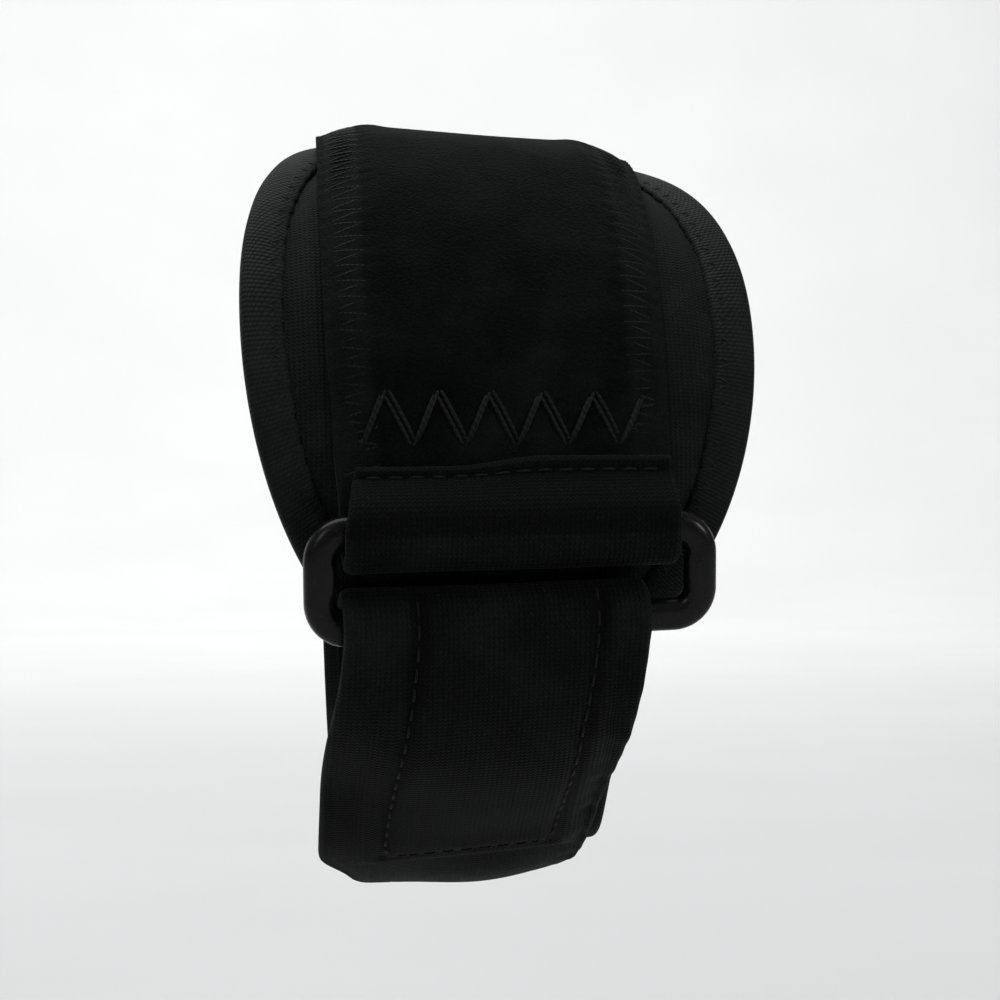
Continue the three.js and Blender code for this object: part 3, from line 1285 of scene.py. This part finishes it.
@dataclass(frozen=True)
class Panel:
    """The panel that the hook patch's seam draws on the tab, and the looser cloth beside it."""

    inset: float = 1.0
    over_bar: float = 4.5
    stitch: float = 2.4
    corner: float = 3.0
    thread: float = 0.32
    lift: float = 0.45
    seam_depth: float = 0.6
    seam_width: float = 0.7
    band: float = 0.6
    hem: float = 0.14
    lumps: float = 0.15
    slack: float = 0.6
    slack_from: tuple = (42.0, 56.0)

    def relief(self, lie: Lie, down: Array, s: Array, x: Array, from_edge: Array) -> tuple[Array, Array]:
        """The panel's height, with its seams, hem, lumps and slack, and its painted seam shade and band
        highlight.

        Args:
            lie: How the pieces lie.
            down: How far down from the top of the ring's lower bar.
            s: The s of each grid point.
            x: The x of each grid point.
            from_edge: How far each grid point is from the strap's edge.

        Returns:
            The extra height of the tab's outer face, and how much darker it is painted: painted shade in the
            seam grooves, less painted highlight on the bands that bulge over the bar.
        """
        half = lie.hooks.width / 2
        off = x - lie.patch_drift(s)
        outside = np.abs(off) - half + self.inset
        beyond = lie.patch_span[1] + self.inset - s
        raised = 1 - ease(np.maximum(outside, beyond), -0.5, 0.9)
        sides, foot = (bell(distance, self.seam_width) for distance in (outside, beyond))
        seam = np.maximum(sides * (beyond < 0.6), foot * (outside < 0.6))
        band = ease(outside, 0.6, 2.0) * bell(down + 1.2, 2.6)
        lumps = ease(off, half, half + 2.0) * (np.sin(s * 1.5 + x * 0.6) + np.sin(s * 0.83)) / 2
        slack = ease(-off, half, half + 6.0) * ease(-s, *self.slack_from)
        height = self.lift * raised - self.seam_depth * seam + self.lumps * lumps
        height += self.band * band - self.hem * bell(from_edge - 1.5, 0.7) - self.slack * slack
        from_fold = ease(down, -self.over_bar, 1.5 - self.over_bar)
        # The second value is painted light: shade in the seam grooves, highlight on the bands over the bar.
        return from_fold * height, from_fold * (0.8 * seam - 0.5 * band)


@dataclass
class Walk:
    """The strap's stations in order, and the grid that they make with its columns.

    Args:
        stretch: The stretch that each station is in.
        s: Where each station is round the hollow.
        half: Half the strap's width at each station.
        drift: Its sideways place at each station.
        w: The height of its middle layer at each grid point.
        columns: The columns, as shares from one edge at -1 to the other at 1.
    """

    stretch: Array
    s: Array
    half: Array
    drift: Array
    w: Array
    columns: Array

    @cached_property
    def x(self) -> Array:
        """The x of each grid point."""
        return self.drift[:, None] + self.half[:, None] * self.columns

    @cached_property
    def from_edge(self) -> Array:
        """How far each grid point is from the strap's edge."""
        return (1 - np.abs(self.columns))[None, :] * self.half[:, None]

    def within(self, part: Stretch) -> Array:
        """Whether each station is in a stretch, as a column."""
        return (self.stretch == part.value)[:, None]


@dataclass
class Strap:
    """The one length of loop-faced cloth, with the rows that sew it to the base."""

    lie: Lie
    edges: EdgeRows = EdgeRows()
    cross: CrossRow = CrossRow()
    panel: Panel = Panel()
    flap_steps: int = 16
    fold_steps: int = 26
    front_step: float = 0.6
    past_base: float = 20.0
    back_step: float = 1.8
    tab_step: float = 0.9
    corner_shares: tuple = (0.9, 0.8, 0.7, 0.6, 0.5, 0.4, 0.31, 0.23, 0.16, 0.1, 0.05, 0.02, 0.0)
    column_step: float = 0.8
    rim_columns: tuple = (0.0, 0.1, 0.28, 0.55, 0.9, 1.4, 2.0, 2.7)
    edge_round: float = 1.15
    edge_share: float = 0.3
    flap_seam: float = 1.9
    flap_seam_sunk: float = 0.25
    flap_skew: float = 1.2
    flap_skew_over: tuple = (-4.0, 8.0)
    flap_row_reach: float = 0.93
    flap_row_count: int = 14
    uneven: float = 0.16
    tight_at: float = 81.0
    tight_width: float = 9.0
    tight: float = 0.5
    droop: float = 1.7
    droop_at: float = 85.0
    droop_width: float = 14.0
    droop_across: tuple = (7.0, 18.0)
    droop_beyond: tuple = (0.1, 5.0)
    end_from: float = 46.5
    end_run: float = 11.0
    end_lift: float = 1.6
    end_lift_at: float = -1.5
    end_lift_width: float = 9.5
    end_cut: float = 3.6
    piece: Optional[Object] = None
    sewing: list = field(default_factory=list)

    @cached_property
    def columns(self) -> Array:
        """Columns across the strap, close together where its edges are round."""
        half, near = self.lie.strap.width / 2, np.array(self.rim_columns)
        count = round((2 * half - 2 * near[-1]) / self.column_step)
        inner = np.linspace(-half + near[-1], half - near[-1], count + 1)[1:-1]
        return np.concatenate([-half + near, inner, (half - near)[::-1]]) / half

    def stations(self, part: Stretch, s: Array, rows: Array, height: Callable) -> tuple:
        """Lays out one stretch.

        Args:
            part: The stretch.
            s: Where its stations are round the hollow.
            rows: The half width and drift at each of them.
            height: The middle layer's height as a function of s and x.

        Returns:
            Arrays by station: stretch, s, half width, drift, and height by column.
        """
        x = rows[:, 1:2] + rows[:, 0:1] * self.columns
        grid = np.broadcast_to(s[:, None], x.shape)
        w = np.broadcast_to(height(grid, x), x.shape)
        return np.full(len(s), part.value), s, rows[:, 0], rows[:, 1], w

    def flap(self) -> tuple:
        """The flap's stations, from its end to the upper bar."""
        lie, cut = self.lie, self.lie.strap
        share = np.linspace(0, 1, self.flap_steps)
        level = lie.ring_height + lie.fold[1]
        height = lie.leaving(lie.bar_at, level, lie.flap_run * cut.flap, lie.on_strap)
        s = lie.bar_at + cut.flap * (1 - share)
        return self.stations(Stretch.FLAP, s, cut.read(cut.flap_rows, share), height)

    def fold(self, part: Stretch, bar: float, start: float, rows: tuple) -> tuple:
        """The stations of half a turn round a bar."""
        lie = self.lie
        share = np.linspace(0, 1, self.fold_steps + 1)[1:-1]
        angle = start + math.pi * share
        w = (lie.ring_height + lie.fold[1] * np.sin(angle))[:, None]
        s = bar + lie.fold[0] * np.cos(angle)
        return self.stations(part, s, lie.strap.read(rows, share), lambda s, x: w)

    def round_hollow(self) -> tuple:
        """The stations from the upper bar round the hollow to the lower bar."""
        lie, cut = self.lie, self.lie.strap
        far_bar = lie.hollow.girth - lie.bar_at
        front_end = lie.base.middle + lie.base.length / 2 + self.past_base
        front = np.arange(lie.bar_at, front_end, self.front_step)
        back = np.linspace(front[-1], far_bar, round((far_bar - front[-1]) / self.back_step))
        s = np.concatenate([front, back[1:]])
        level = lie.ring_height - lie.fold[1]
        rising = lie.leaving(lie.bar_at, level, lie.under_run, lie.on_base)
        falling = lie.leaving(far_bar, level, lie.under_run, lie.on_base)

        def height(s: Array, x: Array) -> Array:
            """The middle layer's height, lower at the edges past the base."""
            return np.where(s < lie.hollow.girth / 2, rising(s, x), falling(s, x)) - self.edge_droop(s, x)

        rows = cut.read(cut.round_rows, (s - lie.bar_at) / (far_bar - lie.bar_at))
        return self.stations(Stretch.ROUND, s, rows, height)

    def tab(self) -> tuple:
        """The stations from the lower bar to the tab's end, which is askew and lifts off a little."""
        lie, cut = self.lie, self.lie.strap
        straight = round((cut.tab - cut.corner) / self.tab_step)
        corner = lie.tab_end + np.array(self.corner_shares) * cut.corner
        s = np.concatenate([np.linspace(-lie.bar_at, lie.tab_end + cut.corner, straight), corner])
        rows = cut.read(cut.tab_rows, (-lie.bar_at - s) / cut.tab)
        to_end = np.minimum(s - lie.tab_end, cut.corner)
        rows[:, 0] -= cut.corner - np.sqrt(cut.corner**2 - (cut.corner - to_end) ** 2)
        free = ease(-s, self.end_from, self.end_from + self.end_run)
        rows += np.stack([-free, free], axis=1) * self.end_cut / 2
        level = lie.ring_height + lie.fold[1]
        resting = lie.leaving(-lie.bar_at, level, lie.tab_run * cut.tab, lie.on_hooks)

        def height(s: Array, x: Array) -> Array:
            """The middle layer's height, with the free end's bulge."""
            bulge = free[:, None] * bell(x - self.end_lift_at, self.end_lift_width)
            return resting(s, x) + self.end_lift * bulge

        return self.stations(Stretch.TAB, s, rows, height)

    def route(self) -> Walk:
        """Walks along the strap from the flap to the tab's end."""
        bar, cut, quarter = self.lie.bar_at, self.lie.strap, math.pi / 2
        parts = (
            self.flap(),
            self.fold(Stretch.UPPER_FOLD, bar, quarter, (cut.flap_rows[1], cut.round_rows[0])),
            self.round_hollow(),
            self.fold(Stretch.LOWER_FOLD, -bar, -quarter, (cut.round_rows[-1], cut.tab_rows[0])),
            self.tab(),
        )
        return Walk(*(np.concatenate(arrays) for arrays in zip(*parts)), self.columns)

    def build(self) -> None:
        """Makes the cloth and its sewing."""
        walk = self.route()
        s = walk.s[:, None] - self.shorter(walk)
        middle = self.lie.hollow.lay(s, walk.x, walk.w)
        out = np.cross(np.gradient(middle, axis=0), np.gradient(middle, axis=1))
        out /= np.linalg.norm(out, axis=-1, keepdims=True)
        steps = np.linalg.norm(np.diff(middle[:, len(self.columns) // 2], axis=0), axis=1)
        way = np.concatenate([[0.0], np.cumsum(steps)])
        thick = self.thickness(way)
        smooth, pile, tone = self.relief(walk, s, way, thick)
        upper = middle + out * (thick / 2 + smooth)[..., None]
        lower = middle - out * (thick / 2 + pile)[..., None]
        flat = np.stack([walk.x, np.broadcast_to(way[:, None], walk.x.shape)], axis=-1)
        self.piece = Slab("strap_cloth", upper, lower, flat, tone).build()
        self.sew(walk, Face(upper, out, way, self.columns), Face(lower, -out, way, self.columns))

    def edge_droop(self, s: Array, x: Array) -> Array:
        """How far the strap's edges hang down where the base's oval end doesn't reach them."""
        base = self.lie.base
        share = base.share(s, x, -self.lie.tape.bed, self.lie.hollow.girth)
        beyond = (share - 1) * base.width / 2
        at_side = ease(np.abs(x), *self.droop_across) * bell(s - self.droop_at, self.droop_width)
        return self.droop * ease(beyond, *self.droop_beyond) * at_side

    def shorter(self, walk: Walk) -> Array:
        """How much shorter the flap is along each column, since it was cut a little askew."""
        share = walk.within(Stretch.FLAP) * (walk.s[:, None] - self.lie.bar_at) / self.lie.strap.flap
        return self.flap_skew * share**2 * ease(-walk.x, *self.flap_skew_over)

    def thickness(self, way: Array) -> Array:
        """The cloth's thickness by station and column, thinner at its rounded rim."""

        def rim(distance: Array) -> Array:
            """The share of the thickness at a distance from the rim."""
            inside = np.clip(distance / self.edge_round, 0.0, 1.0)
            return self.edge_share + (1 - self.edge_share) * np.sqrt(1 - (1 - inside) ** 2)

        cut = self.lie.strap
        across = rim((1 - np.abs(self.columns)) * cut.width / 2)
        return cut.thickness * np.minimum(across[None, :], rim(np.minimum(way, way[-1] - way))[:, None])

    def relief(self, walk: Walk, s: Array, way: Array, thick: Array) -> tuple[Array, Array, Array]:
        """What stitches and wear do to both faces, and the painted shade and painted highlight in their
        tone.

        Args:
            walk: The strap's stations.
            s: The s of each grid point.
            way: How far along the strap each station is.
            thick: The cloth's thickness at each grid point.

        Returns:
            The extra height of the smooth face and of the pile face, and their tone, which holds worn edges,
            painted shade and painted highlight.
        """
        lie, x, from_edge, along = self.lie, walk.x, walk.from_edge, way[:, None]
        flap, on_round, tab = map(walk.within, (Stretch.FLAP, Stretch.ROUND, Stretch.TAB))
        on_base = 1 - ease(lie.base.share(s, x * 0, 0.0, lie.hollow.girth), *self.edges.fade)
        front = on_round * on_base * ease(s, *self.edges.from_bar)
        flush = front * (lie.strap.thickness - thick) / 2
        broad = settle(x, along) * self.uneven
        down = along - along[tab][0]
        # The panel's second value: painted shade in its seam grooves, less painted highlight on the bands by
        # the bar.
        raised, painted_seam_shade_and_band_light = self.panel.relief(lie, down, s, x, from_edge)
        smooth = flush + 0.8 * broad + raised
        smooth = smooth - flap * bell(along - self.flap_seam, 0.6) * self.flap_seam_sunk
        pile = flush + broad - front * self.edges.pressed(s, from_edge)
        tight = self.tight * bell(s - self.tight_at, self.tight_width)
        pile = pile - on_round * (self.cross.pressed(s, x, from_edge) + tight)
        worn = 0.5 * bell(from_edge, 0.8) + 0.15 * settle(x * 2, along * 2)
        brushed = 0.5 * front * ease(-from_edge, -self.edges.far, 1.0 - self.edges.far)
        # Painted shade: the flap and the lower part of the tab are darkened.
        shaded = 0.6 * flap + 0.45 * tab * ease(down, 12.0, 34.0)
        return smooth, pile, np.clip(worn + brushed - painted_seam_shade_and_band_light - shaded, -0.9, 1)

    def sew(self, walk: Walk, smooth: Face, pile: Face) -> None:
        """Sews the strap to the base, the flap's end down, and the hook patch to the tab."""
        base, half = self.lie.base, self.lie.strap.width / 2

        def way_at(part: Stretch, at: Array) -> Array:
            """The way along the strap at an s in one stretch."""
            here = walk.stretch == part.value
            order = np.argsort(walk.s[here])
            return np.interp(at, walk.s[here][order], smooth.way[here][order])

        edges, cross = self.edges, self.cross
        edge_rows = Sewing("strap_edge_stitches", edges.thread)
        last = base.middle + base.length / 2 - edges.before_end
        count = 2 * round((last - edges.first) / edges.pitch)
        ways = way_at(Stretch.ROUND, np.linspace(edges.first, last, count + 1))
        reach = np.where(np.arange(count + 1) % 2, edges.near, edges.far)
        for side in (-1.0, 1.0):
            edge_rows.sew(*pile.at(ways, side * (1 - reach / half)))

        cross_row = Sewing("zigzag_row_stitches", cross.thread, sink=0.1)
        count = round(4 * (half - cross.margin) / cross.pitch)
        places = (np.arange(count + 1) - count / 2) * cross.pitch / 2
        turns = cross.start + (cross.end - cross.start) * np.round(cross.wave(places))
        for shift in (-cross.apart, cross.apart):
            cross_row.sew(*pile.at(way_at(Stretch.ROUND, turns + shift), (places + shift) / half))

        flap_row = Sewing("flap_stitches")
        across = np.linspace(-self.flap_row_reach, self.flap_row_reach, self.flap_row_count + 1)
        flap_row.sew(*smooth.at(np.full_like(across, self.flap_seam), across), RUNNING)
        rows = (edge_rows, cross_row, flap_row, self.sew_patch(way_at, smooth))
        self.sewing = [row.build() for row in rows]

    def sew_patch(self, way_at: Callable, smooth: Face) -> Sewing:
        """Sews the hook patch's outline through the tab, and on over the fold."""
        lie, panel = self.lie, self.panel
        side = lie.hooks.width / 2 - panel.inset
        foot = lie.patch_span[1] + panel.inset
        down = np.arange(-lie.bar_at - 0.5, foot + panel.corner, -panel.stitch)
        right = [(s, side) for s in down]
        for turn in np.linspace(0, math.pi / 2, 4):
            up, inwards = panel.corner * (1 - math.sin(turn)), panel.corner * (1 - math.cos(turn))
            right.append((foot + up, side - inwards))
        level = np.arange(side - panel.corner - panel.stitch, -side + panel.corner, -panel.stitch)
        outline = right + [(foot, x) for x in level] + [(s, -x) for s, x in reversed(right)]
        s, x = np.array(outline).T
        half = lie.strap.read(lie.strap.tab_rows, (-lie.bar_at - s) / lie.strap.tab)[:, 0]
        across = (x + lie.hooks.offset) / half
        ways, over = way_at(Stretch.TAB, s), panel.stitch * np.array([2.0, 1.0])
        ways = np.concatenate([ways[0] - over, ways, ways[-1] - over[::-1]])
        across = np.concatenate([across[:1].repeat(2), across, across[-1:].repeat(2)])
        patch = Sewing("tab_stitches", panel.thread, sink=0.02)
        patch.sew(*smooth.at(ways, across), RUNNING)
        return patch

    def dress(self, jersey: Material, pile: Material, thread: Material) -> None:
        """Gives the strap its smooth and its looped face, and the stitches their thread."""
        dress(self.piece, jersey, pile)
        for sewing in self.sewing:
            dress(sewing, thread)
        for piece in (self.piece, *self.sewing):
            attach(piece, BODY)
        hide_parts("strap")


@dataclass
class HookPatch:
    """The hook tape between the tab and the strap."""

    lie: Lie
    step: float = 1.0
    inner_columns: int = 19
    inner_reach: float = 0.85
    rim_columns: tuple = (0.93, 0.98, 1.0)
    edge_round: float = 0.3
    piece: Optional[Object] = None

    def build(self) -> None:
        """Makes the tape as a thin slab with rounded edges."""
        lie, hooks = self.lie, self.lie.hooks
        first, last = lie.patch_span
        s_line = np.linspace(first, last, round((first - last) / self.step) + 1)
        rim = np.array(self.rim_columns)
        inner = np.linspace(-self.inner_reach, self.inner_reach, self.inner_columns)
        columns = np.concatenate([-rim[::-1], inner, rim])
        s = np.broadcast_to(s_line[:, None], (len(s_line), len(columns)))
        x = lie.patch_drift(s) + columns * hooks.width / 2
        seat = lie.strap.thickness / 2 + lie.hook_gap + hooks.thickness / 2
        w = lie.on_base(s, x) + seat
        from_side = (1 - np.abs(columns))[None, :] * hooks.width / 2
        from_end = np.minimum(s_line - last, first - s_line)[:, None]
        inside = np.minimum(np.minimum(from_side, from_end) / self.edge_round, 1.0)
        thick = hooks.thickness * (0.5 + 0.5 * inside)
        upper, lower = (lie.hollow.lay(s, x, w + side * thick / 2) for side in (1, -1))
        self.piece = Slab("hook_tape", upper, lower, np.stack([x, s], axis=-1)).build()

    def dress(self, nylon: Material) -> None:
        """Gives the tape its nylon."""
        dress(self.piece, nylon, nylon)
        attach(self.piece, BODY)
        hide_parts("hook_patch")


@dataclass
class Ring:
    """The rectangular plastic ring."""

    lie: Lie
    corner_steps: int = 14
    side_steps: int = 10
    rows: int = 28
    squareness: float = 0.82
    shrink: float = 0.985
    parting: float = 0.05
    parting_width: float = 0.06
    piece: Optional[Object] = None

    def stations(self) -> Array:
        """The middle line's corners and sides in turn.

        Returns:
            For each station: the corner's signs of x and s, the angle, and a share of the side
            that follows it.
        """
        signs = ((1, 1), (-1, 1), (-1, -1), (1, -1))
        rows = []
        for corner, (right, upper) in enumerate(signs):
            after = signs[(corner + 1) % 4]
            for step in range(self.corner_steps):
                angle = (corner + step / self.corner_steps) * math.pi / 2
                rows.append((right, upper, right, upper, 0.0, angle))
            for step in range(self.side_steps):
                share = step / self.side_steps
                rows.append((right, upper, *after, share, (corner + 1) * math.pi / 2))
        return np.array(rows)

    def build(self) -> None:
        """Makes the ring, a rounded bar with a fine parting line."""
        lie, ring = self.lie, self.lie.ring
        stations = self.stations()
        count = len(stations)
        wide, high = (size / 2 - ring.inner_corner for size in lie.window)

        def place(station: Array, row: Array) -> Array:
            """A point of the ring."""
            r0, u0, r1, u1, share, angle = stations[np.round(station * count).astype(int) % count].T
            right, upper = r0 + (r1 - r0) * share, u0 + (u1 - u0) * share
            turns = np.cos(FULL_TURN * row), np.sin(FULL_TURN * row)
            bar_x, bar_z = (np.sign(turn) * np.abs(turn) ** self.squareness for turn in turns)
            seam = self.parting * bell(bar_z, self.parting_width) * np.sign(bar_x)
            radius = ring.inner_corner + (ring.bar / 2) * (1 + bar_x * self.shrink) + seam
            s = upper * high + radius * np.sin(angle)
            x = right * wide + radius * np.cos(angle) - ring.offset
            return lie.hollow.lay(s, x, lie.ring_height + ring.thickness / 2 * self.shrink * bar_z)

        self.piece = ring_of_sections("plastic_ring", place, count, self.rows)

    def dress(self, plastic: Material) -> None:
        """Gives the ring its plastic."""
        dress(self.piece, plastic)
        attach(self.piece, BODY)
        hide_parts("ring")


# The studio


@dataclass(frozen=True)
class PhotoView:
    """The photo's camera: lengths in millimetres, places in pixels of its 1000 pixel frame."""

    distance: float = 430.0
    scale: float = 2.4
    azimuth: float = math.radians(-4.7)
    roll: float = math.radians(1.0)
    eye_right: float = 1.8
    eye_up: float = 6.25
    principal: tuple = (500.0, 500.0)
    aim: tuple = (503.5, 514.0)
    shown: float = 330.0
    sensor: float = 36.0

    def build(self) -> None:
        """Makes the camera where the photo was taken from, with a longer lens."""
        forward = Vector((-math.sin(self.azimuth), math.cos(self.azimuth), 0.0))
        right = Vector((math.cos(self.azimuth), math.sin(self.azimuth), 0.0))
        up = Vector((0.0, 0.0, 1.0))
        eye = (right * self.eye_right + up * self.eye_up - forward * self.distance) * MM
        focal = self.distance * self.scale
        off = Vector((self.aim[0] - self.principal[0], self.principal[1] - self.aim[1]))
        off.rotate(Matrix.Rotation(-self.roll, 2))
        look = (forward * focal + right * off.x + up * off.y).normalized()
        data = bpy.data.cameras.new("photo_camera")
        data.sensor_width = self.sensor
        data.lens = self.sensor * focal / self.shown
        data.dof.use_dof = False
        data.clip_start, data.clip_end = 0.01, 50.0
        camera = link("photo_camera", data)
        side = look.cross(up).normalized()
        level = side.cross(look)
        turned = side * math.cos(self.roll) - level * math.sin(self.roll)
        rotation = Matrix((turned, (-look).cross(turned), -look)).transposed()
        camera.matrix_world = Matrix.Translation(eye) @ rotation.to_4x4()
        bpy.context.scene.camera = camera


@dataclass(frozen=True)
class SoftLight:
    """A soft box: where it stands, how large it is and how bright."""

    name: str
    place: tuple
    size: float
    watts: float
    target: tuple = (0.0, 0.0, 0.0)

    def build(self) -> None:
        """Makes the light, turned to its target."""
        data = bpy.data.lights.new(self.name, "AREA")
        data.shape = "DISK"
        data.size = self.size
        data.energy = self.watts
        lamp = link(self.name, data)
        towards = Vector(self.target) - Vector(self.place)
        turn = towards.to_track_quat("-Z", "Y").to_matrix().to_4x4()
        lamp.matrix_world = Matrix.Translation(self.place) @ turn


@dataclass(frozen=True)
class Studio:
    """A plain pale floor that curves up into its surround, and the lights."""

    floor: float = -0.13
    reach: float = 2.2
    sweep: float = 1.2
    wall: float = 3.0
    hub: float = 0.001
    bend_steps: int = 12
    turn_steps: int = 96
    world: float = 0.34
    lights: tuple = (
        SoftLight("top_light", (-0.25, 0.3, 1.25), 1.3, 13.0),
        SoftLight("front_light", (-0.9, -1.2, 0.9), 0.7, 3.5),
        SoftLight("right_light", (1.0, -0.7, 0.5), 0.25, 3.8),
        SoftLight("wall_light", (0.0, 1.9, 1.6), 1.4, 36.0, target=(0.0, 3.1, -0.1)),
    )

    def build(self, paint: Material) -> None:
        """Makes the floor, the world and the lights."""
        bm = bmesh.new()
        path = [(self.hub, 0.0), (self.reach, 0.0)]
        for step in range(1, self.bend_steps + 1):
            angle = math.pi / 2 * step / self.bend_steps
            path.append((self.reach + self.sweep * math.sin(angle), self.sweep * (1 - math.cos(angle))))
        path.append((self.reach + self.sweep, self.wall))
        verts = [bm.verts.new((r, 0.0, self.floor + z)) for r, z in path]
        edges = [bm.edges.new(pair) for pair in zip(verts, verts[1:])]
        spin(bm, verts + edges, self.turn_steps)
        rim = [edge for edge in bm.edges if edge.is_boundary and edge.verts[0].co.xy.length < self.reach / 2]
        bmesh.ops.holes_fill(bm, edges=rim)
        floor = to_object("studio_floor", bm)
        dress(floor, paint)
        world = bpy.data.worlds.new("studio_world")
        world.use_nodes = True
        backdrop = world.node_tree.nodes["Background"]
        backdrop.inputs[0].default_value = (0.95, 0.98, 1.0, 1.0)
        backdrop.inputs[1].default_value = self.world
        bpy.context.scene.world = world
        for light in self.lights:
            light.build()
        bpy.context.scene.view_settings.view_transform = "Standard"


def report(piece: Object) -> None:
    """Logs one piece's name and how many triangles it has."""
    mesh = piece.data
    mesh.calc_loop_triangles()
    log.info("%s: %d triangles", piece.name, len(mesh.loop_triangles))


def main() -> None:
    """Builds and dresses the pieces in order, then the studio."""
    logging.basicConfig(level=logging.INFO, format="%(message)s")
    lie = Lie()
    jersey, pile = Jersey().make(), LoopPile().make()
    weave, thread = TapeWeave().make(), SewingThread().make()

    base = PaddedBase(lie)
    base.build()
    base.dress(jersey)
    binding = EdgeBinding(lie)
    binding.build()
    binding.dress(weave, thread)
    strap = Strap(lie)
    strap.build()
    strap.dress(Jersey("strap_jersey", 0.0017, 0.0072, sheen=0.028).make(), pile, thread)
    patch = HookPatch(lie)
    patch.build()
    patch.dress(HookNylon().make())
    ring = Ring(lie)
    ring.build()
    ring.dress(MouldedPlastic().make())
    pieces = (base.piece, binding.piece, binding.sewing, strap.piece, *strap.sewing)
    for piece in (*pieces, patch.piece, ring.piece):
        report(piece)

    Studio().build(StudioPaint().make())
    PhotoView().build()


if __name__ == "__main__":
    main()
